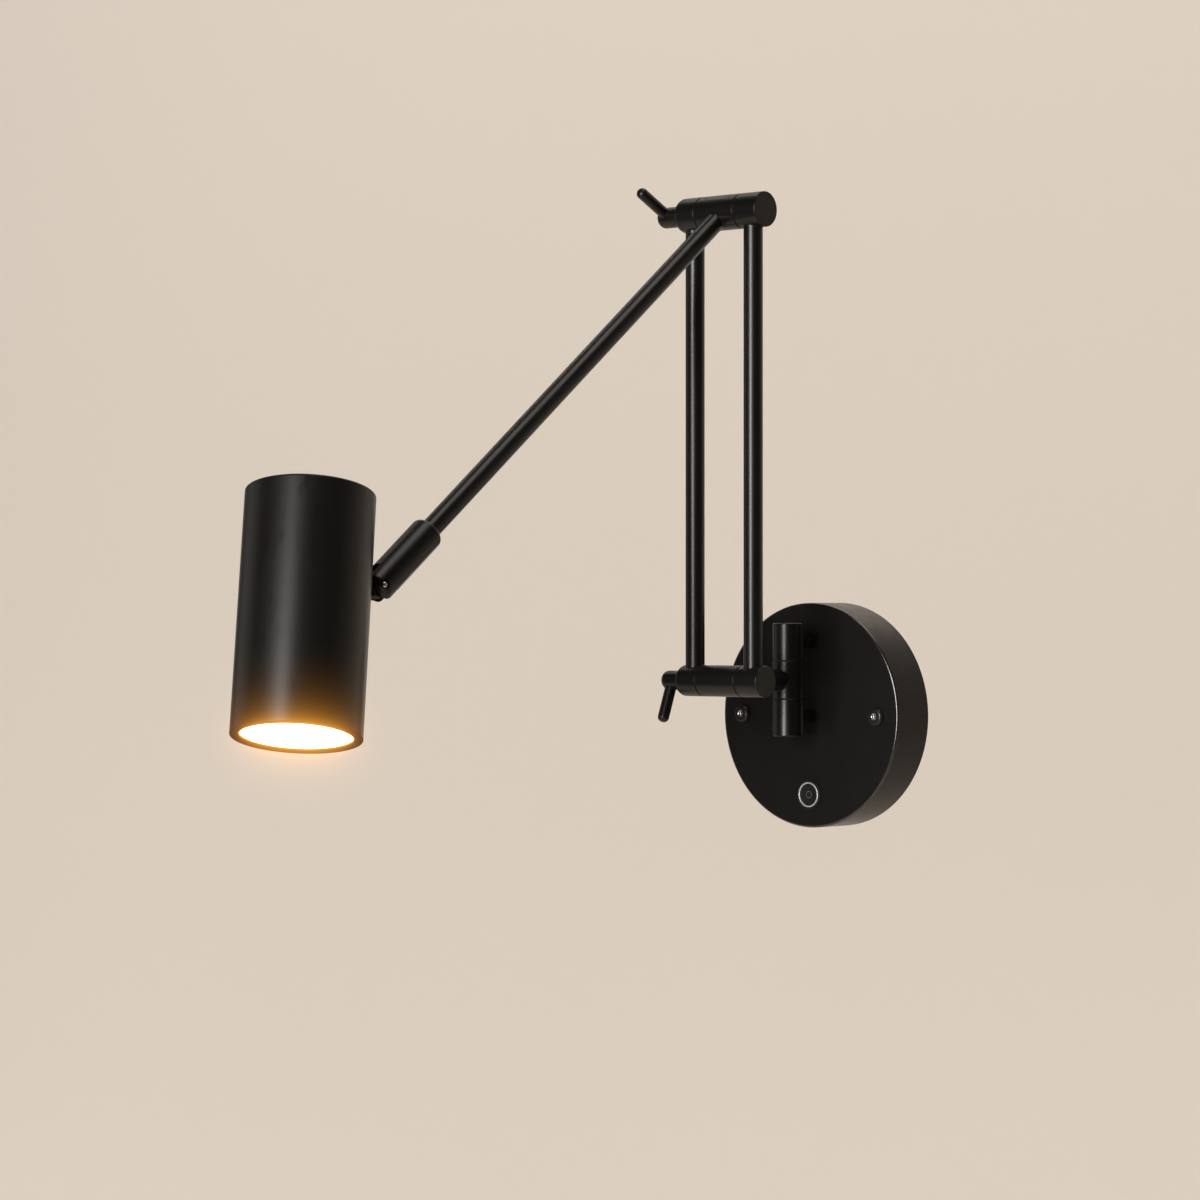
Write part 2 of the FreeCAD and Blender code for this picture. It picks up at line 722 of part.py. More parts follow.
def button_housing():
    housing = new_body("button_housing", BUTTON)
    barrel = "dims.button_barrel_diameter / 2"
    flange = "dims.button_flange_diameter / 2"
    ring = "dims.button_ring_diameter / 2 + dims.seat_clearance"
    ring_seat = "dims.button_flange_height + dims.button_ring_stand - dims.button_ring_height"
    stem = "dims.button_stem_diameter / 2 + dims.button_cap_clearance"
    turned(housing, "section", [
        (stem, "-dims.button_barrel_length"),
        (barrel, "-dims.button_barrel_length"),
        (barrel, "0"),
        (flange, "0"),
        (flange, "dims.button_flange_height"),
        (ring, "dims.button_flange_height"),
        (ring, ring_seat),
        (RING_INSIDE, ring_seat),
        (RING_INSIDE, CAP_FLOOR),
        (stem, CAP_FLOOR),
    ])
    keep(housing)


def button_ring():
    ring = new_body("button_ring", joined(BUTTON, frame(
        z="dims.button_flange_height + dims.button_ring_stand - dims.button_ring_height")))
    hoop = circles(ring, "hoop", "XY_Plane", [
        ("0", "0", "dims.button_ring_diameter / 2"),
        ("0", "0", RING_INSIDE),
    ])
    pad(ring, hoop, "dims.button_ring_height")
    keep(ring)


def button_cap():
    cap = new_body("button_cap", BUTTON)
    edge = "(%s - dims.button_cap_clearance)" % RING_INSIDE
    stem = "dims.button_stem_diameter / 2"
    top = "(dims.button_flange_height - dims.button_cap_sink)"
    stem_end = "-dims.button_barrel_length + dims.button_travel + dims.button_floor_gap"
    disc = turned(cap, "cap", [
        ("0", stem_end),
        (stem, stem_end),
        (stem, CAP_UNDERSIDE),
        (edge, CAP_UNDERSIDE),
        (edge, top),
        ("0", top),
    ])
    chamfer(cap, "cap_edge", disc, rims(disc, (edge, top)), "dims.button_cap_edge_break")
    keep(cap)


def button_nut():
    nut = new_body("button_nut", joined(BUTTON, frame(z="-dims.canopy_skin - dims.button_nut_height")))
    prism(nut, "Additive", "hexagon", "dims.button_nut_flats", "dims.button_nut_height")
    bore = "dims.button_barrel_diameter / 2 + dims.thread_clearance"
    pocket(nut, circles(nut, "bore", "XY_Plane", [("0", "0", bore)]),
           "dims.button_nut_height", backwards=True)
    keep(nut)


def switch_body():
    place = frame(z="-dims.button_barrel_length - dims.switch_height")
    switch = new_body("switch_body", joined(BUTTON, place))
    pad(switch, rectangle(switch, "block", "XY_Plane", "dims.switch_width", "dims.switch_width"),
        "dims.switch_height")
    pin = "dims.switch_pin_diameter / 2"
    pins = circles(switch, "pins", "XY_Plane", [
        ("dims.switch_pin_spacing / 2", "0", pin),
        ("-dims.switch_pin_spacing / 2", "0", pin),
    ])
    pad(switch, pins, "dims.switch_pin_length", backwards=True)
    keep(switch)


# Swivel hinge

HINGE_WASHER_GAP = "(dims.friction_washer_thickness + 2 * dims.face_clearance)"
KNUCKLE_LENGTH = "((dims.hinge_length - 2 * %s) / 3)" % HINGE_WASHER_GAP
HINGE_RADIUS = "(dims.hinge_diameter / 2)"
PIN_BORE = "(dims.hinge_pin_diameter / 2 + dims.running_clearance)"


def side_seat(owner, name, radius, flat, height, reach):
    # Mills a round flat seat that faces local X, for a rod that stands on it
    seat = circles(owner, name, "YZ_Plane", [("0", height, radius)], lift=flat)
    pocket(owner, seat, "%s + dims.cut_overrun" % reach, backwards=True)


def hinge_knuckle_middle():
    knuckle = new_body("hinge_knuckle_middle", joined(HINGE, frame(angle="-90")))
    ring = circles(knuckle, "ring", "XY_Plane", [("0", "0", HINGE_RADIUS), ("0", "0", PIN_BORE)])
    pad(knuckle, ring, KNUCKLE_LENGTH, centred=True)
    side_seat(knuckle, "stub_seat", "dims.stub_diameter / 2 + dims.seat_clearance",
              "%s - dims.stub_seat_depth" % HINGE_RADIUS, "0", HINGE_RADIUS)
    keep(knuckle)


def post_seat(knuckle):
    flat = "%s - dims.post_seat_depth" % HINGE_RADIUS
    middle = "%s / 2" % KNUCKLE_LENGTH
    side_seat(knuckle, "post_seat", "dims.post_diameter / 2 + dims.seat_clearance",
              flat, middle, HINGE_RADIUS)
    side_seat(knuckle, "spigot_hole", "dims.post_spigot_diameter / 2 + dims.seat_clearance",
              "%s - dims.post_spigot_length" % flat, middle, HINGE_RADIUS)


def hinge_knuckle_upper():
    place = frame(z="dims.hinge_length / 2 - %s" % KNUCKLE_LENGTH, angle="90")
    knuckle = new_body("hinge_knuckle_upper", joined(HINGE, place))
    section = turned(knuckle, "section", [
        (PIN_BORE, "0"),
        (HINGE_RADIUS, "0"),
        (HINGE_RADIUS, KNUCKLE_LENGTH),
        ("0", KNUCKLE_LENGTH),
        ("0", "dims.hinge_pin_engagement"),
        (PIN_BORE, "dims.hinge_pin_engagement"),
    ])
    chamfer(knuckle, "top_edge", section, rims(section, (HINGE_RADIUS, KNUCKLE_LENGTH)),
            "dims.hinge_edge_break")
    post_seat(knuckle)
    keep(knuckle)


def hinge_knuckle_lower():
    place = frame(z="-dims.hinge_length / 2", angle="90")
    knuckle = new_body("hinge_knuckle_lower", joined(HINGE, place))
    head = "dims.hinge_pin_head_diameter / 2 + dims.hole_clearance"
    well = "dims.hinge_pin_recess + dims.hinge_pin_head_height"
    section = turned(knuckle, "section", [
        (head, "0"),
        (HINGE_RADIUS, "0"),
        (HINGE_RADIUS, KNUCKLE_LENGTH),
        (PIN_BORE, KNUCKLE_LENGTH),
        (PIN_BORE, well),
        (head, well),
    ])
    chamfer(knuckle, "bottom_edge", section, rims(section, (HINGE_RADIUS, "0")), "dims.hinge_edge_break")
    post_seat(knuckle)
    keep(knuckle)


def hinge_pin():
    pin = new_body("hinge_pin", joined(HINGE, frame(z="-dims.hinge_length / 2 + dims.hinge_pin_recess")))
    shank = "dims.hinge_pin_diameter / 2"
    head = "dims.hinge_pin_head_diameter / 2"
    top = ("dims.hinge_length - %s + dims.hinge_pin_engagement - dims.pin_end_gap - dims.hinge_pin_recess"
           % KNUCKLE_LENGTH)
    turned(pin, "section", [
        ("0", "0"),
        (head, "0"),
        (head, "dims.hinge_pin_head_height"),
        (shank, "dims.hinge_pin_head_height"),
        (shank, top),
        ("0", top),
    ])
    prism(pin, "Subtractive", "socket", "dims.hinge_pin_socket_flats",
          "dims.hinge_pin_socket_depth + dims.cut_overrun", lift="-dims.cut_overrun")
    keep(pin)


def friction_washer(label, place, outside, bore):
    # A thin washer centred on its frame's origin
    washer = new_body(label, place)
    ring = circles(washer, "ring", "XY_Plane", [("0", "0", outside), ("0", "0", bore)])
    pad(washer, ring, "dims.friction_washer_thickness", centred=True)
    return washer


def hinge_washers():
    washers = []
    for side, sign in (("upper", ""), ("lower", "-")):
        level = "%s(%s + %s) / 2" % (sign, KNUCKLE_LENGTH, HINGE_WASHER_GAP)
        washers.append(friction_washer("hinge_washer_" + side, joined(HINGE, frame(z=level)),
                                       "%s - dims.groove_depth" % HINGE_RADIUS, PIN_BORE))
    keep_group("hinge_washers", washers)


# Posts through the canopy face

POST_SEAT = "(dims.hinge_standoff - %s + dims.post_seat_depth)" % HINGE_RADIUS
BACKING_FACE = "(%s - dims.backing_plate_thickness)" % PILLAR_REACH


def hinge_post(side):
    post = new_body("hinge_post_" + side, joined(WALL, frame(y=POST_LEVELS[side])))
    stud = "dims.post_stud_diameter / 2"
    shaft = "dims.post_diameter / 2"
    spigot = "dims.post_spigot_diameter / 2"
    inner_end = "%s - dims.post_washer_thickness - dims.post_nut_height - dims.post_thread_end" % BACKING_FACE
    spigot_end = "%s + dims.post_spigot_length" % POST_SEAT
    turned(post, "section", [
        ("0", inner_end),
        (stud, inner_end),
        (stud, "dims.canopy_depth"),
        (shaft, "dims.canopy_depth"),
        (shaft, POST_SEAT),
        (spigot, POST_SEAT),
        (spigot, spigot_end),
        ("0", spigot_end),
    ])
    keep(post)


def backing_plate():
    plate = new_body("backing_plate", joined(WALL, frame(y="dims.hinge_height", z=BACKING_FACE)))
    height = "2 * (%s + dims.backing_plate_margin)" % HINGE_PITCH
    slab = pad(plate, rectangle(plate, "slab", "XY_Plane", "dims.backing_plate_width", height),
               "dims.backing_plate_thickness")
    fillet(plate, "corners", slab, uprights(slab), "dims.backing_plate_corner")
    hole = "dims.post_stud_diameter / 2 + dims.hole_clearance"
    holes = circles(plate, "stud_holes", "XY_Plane", [
        ("0", HINGE_PITCH, hole),
        ("0", "-" + HINGE_PITCH, hole),
    ])
    pocket(plate, holes, "dims.backing_plate_thickness", backwards=True)
    keep(plate)


def post_washers():
    washers = []
    for side, level in POST_LEVELS.items():
        place = frame(y=level, z="%s - dims.post_washer_thickness" % BACKING_FACE)
        washer = new_body("post_washer_" + side, joined(WALL, place))
        ring = circles(washer, "ring", "XY_Plane", [
            ("0", "0", "dims.post_washer_diameter / 2"),
            ("0", "0", "dims.post_stud_diameter / 2 + dims.hole_clearance"),
        ])
        pad(washer, ring, "dims.post_washer_thickness")
        washers.append(washer)
    keep_group("post_washers", washers)


def post_nuts():
    nuts = []
    for side, level in POST_LEVELS.items():
        face = "%s - dims.post_washer_thickness - dims.post_nut_height" % BACKING_FACE
        nut = new_body("post_nut_" + side, joined(WALL, frame(y=level, z=face)))
        prism(nut, "Additive", "hexagon", "dims.post_nut_flats", "dims.post_nut_height")
        bore = "dims.post_stud_diameter / 2 + dims.thread_clearance"
        pocket(nut, circles(nut, "bore", "XY_Plane", [("0", "0", bore)]),
               "dims.post_nut_height", backwards=True)
        nuts.append(nut)
    keep_group("post_nuts", nuts)


def swivel_stub():
    start = "(%s - dims.stub_seat_depth)" % HINGE_RADIUS
    end = "(dims.lower_barrel_diameter / 2 - dims.stub_seat_depth)"
    place = frame(y="-" + start, axis="1; 0; 0", angle="90")
    stub = new_body("swivel_stub", joined(HINGE, place))
    outside = "dims.stub_diameter / 2"
    ring = circles(stub, "ring", "XY_Plane", [("0", "0", outside), ("0", "0", outside + " - dims.stub_wall")])
    pad(stub, ring, "dims.barrel_standoff - dims.hinge_standoff - %s - %s" % (start, end))
    keep(stub)


# Friction barrels

BARREL_GAP = "(dims.friction_washer_thickness + 2 * dims.face_clearance)"
INNER_FACE = "(dims.barrel_middle_length / 2 + %s)" % BARREL_GAP
BARREL_HALF = "(dims.barrel_length / 2)"
BOLT_BORE = "(dims.clamp_bolt_diameter / 2 + dims.running_clearance)"
ROD_OFFSET = "(%s + dims.rod_inset)" % INNER_FACE
LOWER_RADIUS = "(dims.lower_barrel_diameter / 2)"
UPPER_RADIUS = "(dims.upper_barrel_diameter / 2)"
# Each barrel's frame, its radius and the turn that points its rod seats at the rods
BARRELS = {
    "lower": (LOWER_BARREL, LOWER_RADIUS, "0"),
    "upper": (UPPER_BARREL, UPPER_RADIUS, "180"),
}


def barrel_middle(label, place, radius, seat_radius, seat_depth):
    # The part of a barrel that turns between its two ends
    middle = new_body(label, place)
    ring = circles(middle, "ring", "XY_Plane", [("0", "0", radius), ("0", "0", BOLT_BORE)])
    pad(middle, ring, "dims.barrel_middle_length", centred=True)
    side_seat(middle, "tube_seat", "%s + dims.seat_clearance" % seat_radius,
              "%s - %s" % (radius, seat_depth), "0", radius)
    keep(middle)


def lower_barrel_middle():
    facing_wall = frame(y="-dims.barrel_standoff", z=LOWER_PIVOT_HEIGHT, axis="1; 1; 1", angle="120")
    barrel_middle("lower_barrel_middle", facing_wall, LOWER_RADIUS,
                  "dims.stub_diameter / 2", "dims.stub_seat_depth")


def upper_barrel_middle():
    facing_arm = joined(ARM, frame(axis="0; 1; 0", angle="-90"))
    barrel_middle("upper_barrel_middle", facing_arm, UPPER_RADIUS,
                  "dims.arm_diameter / 2", "dims.rod_seat_depth")


def barrel_left(side):
    # The open end of a barrel, rounded down to the boss of its clamp
    place, radius, turn = BARRELS[side]
    end = new_body(side + "_barrel_left", joined(place, frame(angle=turn)))
    tube = turned(end, "section", [
        (BOLT_BORE, "-" + BARREL_HALF),
        (radius, "-" + BARREL_HALF),
        (radius, "-" + INNER_FACE),
        (BOLT_BORE, "-" + INNER_FACE),
    ])
    fillet(end, "shoulder", tube, rims(tube, (radius, "-" + BARREL_HALF)),
           "%s - dims.%s_boss_diameter / 2 - dims.seat_clearance" % (radius, side))
    side_seat(end, "rod_seat", "dims.rod_diameter / 2 + dims.seat_clearance",
              "%s - dims.rod_seat_depth" % radius, "-" + ROD_OFFSET, radius)
    keep(end)


def barrel_right(side):
    # The closed end of a barrel, tapped from inside for the clamp bolt
    place, radius, turn = BARRELS[side]
    end = new_body(side + "_barrel_right", joined(place, frame(angle=turn)))
    thread = "(dims.clamp_bolt_diameter / 2 + dims.thread_clearance)"
    floor = "(%s + dims.clamp_thread_depth)" % INNER_FACE
    cup = turned(end, "section", [
        (thread, INNER_FACE),
        (radius, INNER_FACE),
        (radius, BARREL_HALF),
        ("0", BARREL_HALF),
        ("0", floor),
        (thread, floor),
    ])
    chamfer(end, "face_edge", cup, rims(cup, (radius, BARREL_HALF)), "dims.barrel_face_break")
    side_seat(end, "rod_seat", "dims.rod_diameter / 2 + dims.seat_clearance",
              "%s - dims.rod_seat_depth" % radius, ROD_OFFSET, radius)
    keep(end)


def barrel_washers(side):
    place, radius, _ = BARRELS[side]
    washers = []
    for hand, sign in (("left", "-"), ("right", "")):
        level = "%s(dims.barrel_middle_length + %s) / 2" % (sign, BARREL_GAP)
        washers.append(friction_washer("%s_washer_%s" % (side, hand), joined(place, frame(z=level)),
                                       "%s - dims.groove_depth" % radius, BOLT_BORE))
    keep_group(side + "_barrel_washers", washers)


def clamp_bolt(side):
    bolt = new_body(side + "_clamp_bolt", BARRELS[side][0])
    shank = "dims.clamp_bolt_diameter / 2"
    left = "-(%s + dims.face_clearance + dims.clamp_boss_thread)" % BARREL_HALF
    right = "%s + dims.clamp_thread_depth - dims.pin_end_gap" % INNER_FACE
    turned(bolt, "section", [
        ("0", left),
        (shank, left),
        (shank, right),
        ("0", right),
    ])
    keep(bolt)


def clamp_frame(side):
    # Local X is the way that the lever points
    turn = "dims.%s_lever_angle" % side
    return joined(BARRELS[side][0], frame(z="-%s - dims.face_clearance" % BARREL_HALF, angle=turn))


def lever_place(side):
    # The lever's distance from the barrel, along the boss
    return "(dims.%s_boss_length - dims.clamp_lever_inset)" % side


def clamp_boss(side):
    boss = new_body(side + "_clamp_boss", clamp_frame(side))
    radius = "dims.%s_boss_diameter / 2" % side
    bore = "dims.clamp_bolt_diameter / 2 + dims.running_clearance"
    floor = "-(dims.clamp_boss_thread + dims.pin_end_gap)"
    end = "-dims.%s_boss_length" % side
    blank = turned(boss, "section", [
        (bore, "0"),
        (bore, floor),
        ("0", floor),
        ("0", end),
        (radius, end),
        (radius, "0"),
    ])
    fillet(boss, "round_end", blank, rims(blank, (radius, end)), "dims.clamp_boss_radius")
    side_seat(boss, "lever_hole", "dims.clamp_lever_diameter / 2 + dims.seat_clearance",
              "-dims.clamp_lever_seat", "-" + lever_place(side), "dims.clamp_lever_seat + " + radius)
    keep(boss)


def clamp_lever(side):
    place = joined(frame(x="-dims.clamp_lever_seat", z="-" + lever_place(side)), ALONG_X)
    lever = new_body(side + "_clamp_lever", joined(clamp_frame(side), place))
    radius = "dims.clamp_lever_diameter / 2"
    length = "dims.clamp_lever_seat + dims.%s_lever_reach" % side
    rod = pad(lever, circles(lever, "rod", "XY_Plane", [("0", "0", radius)]), length)
    fillet(lever, "tip", rod, rims(rod, (radius, length)), "dims.clamp_lever_tip_radius")
    keep(lever)


# Rods and upper arm


def upright_rod(side, sign):
    foot = "(dims.lower_barrel_diameter / 2 - dims.rod_seat_depth)"
    head = "(dims.upper_barrel_diameter / 2 - dims.rod_seat_depth)"
    place = frame(x=sign + ROD_OFFSET, y="-dims.barrel_standoff", z="%s + %s" % (LOWER_PIVOT_HEIGHT, foot))
    rod = new_body("rod_" + side, place)
    outside = "dims.rod_diameter / 2"
    ring = circles(rod, "ring", "XY_Plane", [("0", "0", outside), ("0", "0", outside + " - dims.rod_wall")])
    pad(rod, ring, "dims.rod_pivot_spacing - %s - %s" % (foot, head))
    keep(rod)


SOCKET_FLOOR = "(dims.sleeve_length - dims.sleeve_socket_depth)"
GRUB_LEVEL = "(dims.sleeve_length - dims.grub_place)"


def upper_arm_tube():
    tube = new_body("upper_arm_tube", ARM)
    bore = "dims.arm_diameter / 2 - dims.arm_wall"
    outside = "dims.arm_diameter / 2"
    neck = "dims.arm_diameter / 2 - dims.arm_groove_depth"
    start = "dims.upper_barrel_diameter / 2 - dims.rod_seat_depth"
    end = "dims.arm_length - %s - dims.pin_end_gap" % SOCKET_FLOOR
    half_groove = "(dims.grub_dog_diameter / 2 + dims.arm_groove_play)"
    groove = "dims.arm_length - %s" % GRUB_LEVEL
    turned(tube, "section", [
        (bore, start),
        (outside, start),
        (outside, "%s - %s" % (groove, half_groove)),
        (neck, "%s - %s" % (groove, half_groove)),
        (neck, "%s + %s" % (groove, half_groove)),
        (outside, "%s + %s" % (groove, half_groove)),
        (outside, end),
        (bore, end),
    ])
    keep(tube)


# Sleeve, fork and tilt pin

SLEEVE_RADIUS = "(dims.sleeve_diameter / 2)"
FORK_HALF_GAP = "(dims.lug_thickness / 2 + dims.tilt_washer_thickness + 2 * dims.face_clearance)"
PIN_HEAD_SEAT = "(%s - dims.tilt_pin_recess - dims.tilt_pin_head_height)" % SLEEVE_RADIUS


def arm_sleeve():
    sleeve = new_body("arm_sleeve", SLEEVE)
    bore = "dims.arm_diameter / 2 + dims.running_clearance"
    blank = turned(sleeve, "blank", [
        (bore, "-dims.sleeve_length"),
        (SLEEVE_RADIUS, "-dims.sleeve_length"),
        (SLEEVE_RADIUS, "dims.fork_reach"),
        ("0", "dims.fork_reach"),
        ("0", "-" + SOCKET_FLOOR),
        (bore, "-" + SOCKET_FLOOR),
    ])
    upper = fillet(sleeve, "upper_edge", blank, rims(blank, (SLEEVE_RADIUS, "-dims.sleeve_length")),
                   "dims.sleeve_top_radius")
    fillet(sleeve, "fork_end", upper, rims(upper, (SLEEVE_RADIUS, "dims.fork_reach")), "dims.fork_radius")
    gap = outline(sleeve, "fork_gap", "XZ_Plane", [
        ("-" + FORK_HALF_GAP, "-dims.fork_slot_depth"),
        (FORK_HALF_GAP, "-dims.fork_slot_depth"),
        (FORK_HALF_GAP, "dims.fork_reach + dims.cut_overrun"),
        ("-" + FORK_HALF_GAP, "dims.fork_reach + dims.cut_overrun"),
    ])
    pocket(sleeve, gap, "dims.sleeve_diameter + dims.cut_overrun", centred=True)
    pin = "dims.tilt_pin_diameter / 2 + dims.running_clearance"
    pin_hole = circles(sleeve, "pin_hole", "YZ_Plane", [("0", "0", pin)],
                       lift="-(%s - dims.tilt_pin_end_wall)" % SLEEVE_RADIUS)
    pocket(sleeve, pin_hole, "dims.sleeve_diameter", backwards=True)
    head = "dims.tilt_pin_head_diameter / 2 + dims.hole_clearance"
    head_well = circles(sleeve, "head_well", "YZ_Plane", [("0", "0", head)], lift=PIN_HEAD_SEAT)
    pocket(sleeve, head_well, SLEEVE_RADIUS, backwards=True)
    grub = circles(sleeve, "grub_hole", "XZ_Plane",
                   [("0", "-" + GRUB_LEVEL, "dims.grub_diameter / 2 + dims.thread_clearance")])
    pocket(sleeve, grub, SLEEVE_RADIUS + " + dims.cut_overrun", backwards=True)
    keep(sleeve)


def sleeve_grub_screw():
    # Its dog rides in the groove of the arm, so the sleeve turns but stays on
    place = joined(frame(z="-" + GRUB_LEVEL), frame(axis="1; 0; 0", angle="90"))
    grub = new_body("sleeve_grub_screw", joined(SLEEVE, place))
    thread = "dims.grub_diameter / 2"
    dog = "dims.grub_dog_diameter / 2"
    outer = "%s - dims.grub_recess" % SLEEVE_RADIUS
    shoulder = "dims.arm_diameter / 2 + dims.running_clearance + dims.grub_dog_play"
    tip = "dims.arm_diameter / 2 - dims.arm_groove_depth + dims.grub_dog_play"
    turned(grub, "section", [
        ("0", tip),
        (dog, tip),
        (dog, shoulder),
        (thread, shoulder),
        (thread, outer),
        ("0", outer),
    ])
    prism(grub, "Subtractive", "socket", "dims.grub_socket_flats",
          "dims.grub_socket_depth + dims.cut_overrun", lift="%s - dims.grub_socket_depth" % outer)
    keep(grub)


def tilt_pin():
    pin = new_body("tilt_pin", joined(SLEEVE, ALONG_X))
    shank = "dims.tilt_pin_diameter / 2"
    head = "dims.tilt_pin_head_diameter / 2"
    left = "-(%s - dims.tilt_pin_end_wall - dims.pin_end_gap)" % SLEEVE_RADIUS
    top = "(%s + dims.tilt_pin_head_height)" % PIN_HEAD_SEAT
    turned(pin, "section", [
        ("0", left),
        (shank, left),
        (shank, PIN_HEAD_SEAT),
        (head, PIN_HEAD_SEAT),
        (head, top),
        ("0", top),
    ])
    prism(pin, "Subtractive", "socket", "dims.tilt_pin_socket_flats",
          "dims.tilt_pin_socket_depth + dims.cut_overrun", lift="%s - dims.tilt_pin_socket_depth" % top)
    keep(pin)


def tilt_washers():
    washers = []
    for side, sign in (("left", "-"), ("right", "")):
        level = "%s(%s + dims.lug_thickness / 2) / 2" % (sign, FORK_HALF_GAP)
        washer = new_body("tilt_washer_" + side, joined(SLEEVE, ALONG_X, frame(z=level)))
        ring = circles(washer, "ring", "XY_Plane", [
            ("0", "0", "dims.tilt_washer_diameter / 2"),
            ("0", "0", "dims.tilt_pin_diameter / 2 + dims.running_clearance"),
        ])
        pad(washer, ring, "dims.tilt_washer_thickness", centred=True)
        washers.append(washer)
    keep_group("tilt_washers", washers)


# Lamp head

HEAD_RADIUS = "(dims.head_diameter / 2)"
LOWER_BORE = "(%s - dims.head_skin)" % HEAD_RADIUS
UPPER_BORE = "(%s - dims.head_step)" % LOWER_BORE
SINK_RADIUS = "(%s - dims.seat_clearance)" % LOWER_BORE
MOUTH = "(-dims.head_drop)"
DIFFUSER_UNDER = "(%s + dims.trim_lip_thickness)" % MOUTH
REFLECTOR_UNDER = "(%s + dims.diffuser_thickness)" % DIFFUSER_UNDER
BOARD_UNDER = "(%s + dims.reflector_height)" % REFLECTOR_UNDER
SINK_UNDER = "(%s + dims.board_thickness)" % BOARD_UNDER
SINK_SHOULDER = "(%s + dims.sink_base_thickness)" % SINK_UNDER
TRIM_BORE = "(%s - dims.seat_clearance - dims.trim_wall)" % LOWER_BORE
TRIM_OPENING = "(%s - dims.trim_lip_width)" % TRIM_BORE
BOARD_RADIUS = "(%s - dims.board_inset)" % UPPER_BORE
BOARD_SCREW_PLACE = "(%s - dims.board_screw_inset)" % BOARD_RADIUS


def tilt_lug():
    # A tongue in the fork, coped to the round of the lamp head
    lug = new_body("tilt_lug", HEAD)
    half = "dims.lug_height / 2"
    arm = outline(lug, "web", "YZ_Plane", [
        ("-" + HEAD_OFFSET, "-" + half),
        ("0", "-" + half),
        ("0", half),
        ("-" + HEAD_OFFSET, half),
    ])
    pad(lug, arm, "dims.lug_thickness", centred=True)
    pad(lug, circles(lug, "round_end", "YZ_Plane", [("0", "0", half)]), "dims.lug_thickness", centred=True)
    cope = circles(lug, "cope", "XY_Plane", [("0", "-" + HEAD_OFFSET, HEAD_RADIUS)])
    pocket(lug, cope, "dims.lug_height + dims.cut_overrun", centred=True)
    bore = "dims.tilt_pin_diameter / 2 + dims.running_clearance"
    pocket(lug, circles(lug, "pin_bore", "YZ_Plane", [("0", "0", bore)]),
           "dims.lug_thickness + dims.cut_overrun", centred=True)
    screw = "dims.lug_screw_diameter / 2 + dims.thread_clearance"
    holes = circles(lug, "screw_holes", "XZ_Plane", [
        ("0", "dims.lug_screw_spacing / 2", screw),
        ("0", "-dims.lug_screw_spacing / 2", screw),
    ], lift="dims.head_gap - dims.lug_screw_depth - dims.pin_end_gap")
    pocket(lug, holes, HEAD_OFFSET, backwards=True)
    keep(lug)


def lug_screws():
    screws = []
    for side, sign in (("upper", ""), ("lower", "-")):
        place = joined(LAMP, frame(y=UPPER_BORE, z=sign + "dims.lug_screw_spacing / 2"),
                       frame(axis="1; 0; 0", angle="90"))
        depth = "%s - %s + dims.lug_screw_depth" % (HEAD_RADIUS, UPPER_BORE)
        screws.append(slotted_screw("lug_screw_" + side, place, "dims.lug_screw_head_diameter / 2",
                                    "dims.lug_screw_head_height", "dims.lug_screw_diameter / 2", depth))
    keep_group("lug_screws", screws)


def head_shell():
    shell = new_body("head_shell", LAMP)
    inside_top = "dims.head_rise - dims.head_top_thickness"
    cup = turned(shell, "cup", [
        (LOWER_BORE, MOUTH),
        (HEAD_RADIUS, MOUTH),
        (HEAD_RADIUS, "dims.head_rise"),
        ("0", "dims.head_rise"),
        ("0", inside_top),
        (UPPER_BORE, inside_top),
        (UPPER_BORE, SINK_SHOULDER),
        (LOWER_BORE, SINK_SHOULDER),
    ])
    top = fillet(shell, "top_edge", cup, rims(cup, (HEAD_RADIUS, "dims.head_rise")), "dims.head_edge_radius")
    chamfer(shell, "rim_edge", top, rims(top, (HEAD_RADIUS, MOUTH)), "dims.rim_edge_break")
    screw = "dims.lug_screw_diameter / 2 + dims.hole_clearance"
    holes = circles(shell, "lug_holes", "XZ_Plane", [
        ("0", "dims.lug_screw_spacing / 2", screw),
        ("0", "-dims.lug_screw_spacing / 2", screw),
    ])
    pocket(shell, holes, HEAD_RADIUS + " + dims.cut_overrun")
    seat = circles(shell, "screw_seats", "XZ_Plane", [
        ("0", "dims.lug_screw_spacing / 2", "dims.lug_screw_head_diameter / 2 + dims.hole_clearance"),
        ("0", "-dims.lug_screw_spacing / 2", "dims.lug_screw_head_diameter / 2 + dims.hole_clearance"),
    ])
    pocket(shell, seat, UPPER_BORE)
    keep(shell)


def trim_ring():
    ring = new_body("trim_ring", LAMP)
    outside = "%s - dims.seat_clearance" % LOWER_BORE
    top = "%s + dims.trim_height" % MOUTH
    section = turned(ring, "section", [
        (TRIM_OPENING, MOUTH),
        (outside, MOUTH),
        (outside, top),
        (TRIM_BORE, top),
        (TRIM_BORE, DIFFUSER_UNDER),
        (TRIM_OPENING, DIFFUSER_UNDER),
    ])
    chamfer(ring, "lip_edge", section, rims(section, (TRIM_OPENING, MOUTH)), "dims.trim_edge_break")
    keep(ring)


def diffuser():
    disc = new_body("diffuser", joined(LAMP, frame(z=DIFFUSER_UNDER)))
    pad(disc, circles(disc, "disc", "XY_Plane", [("0", "0", "%s - dims.seat_clearance" % TRIM_BORE)]),
        "dims.diffuser_thickness")
    keep(disc)


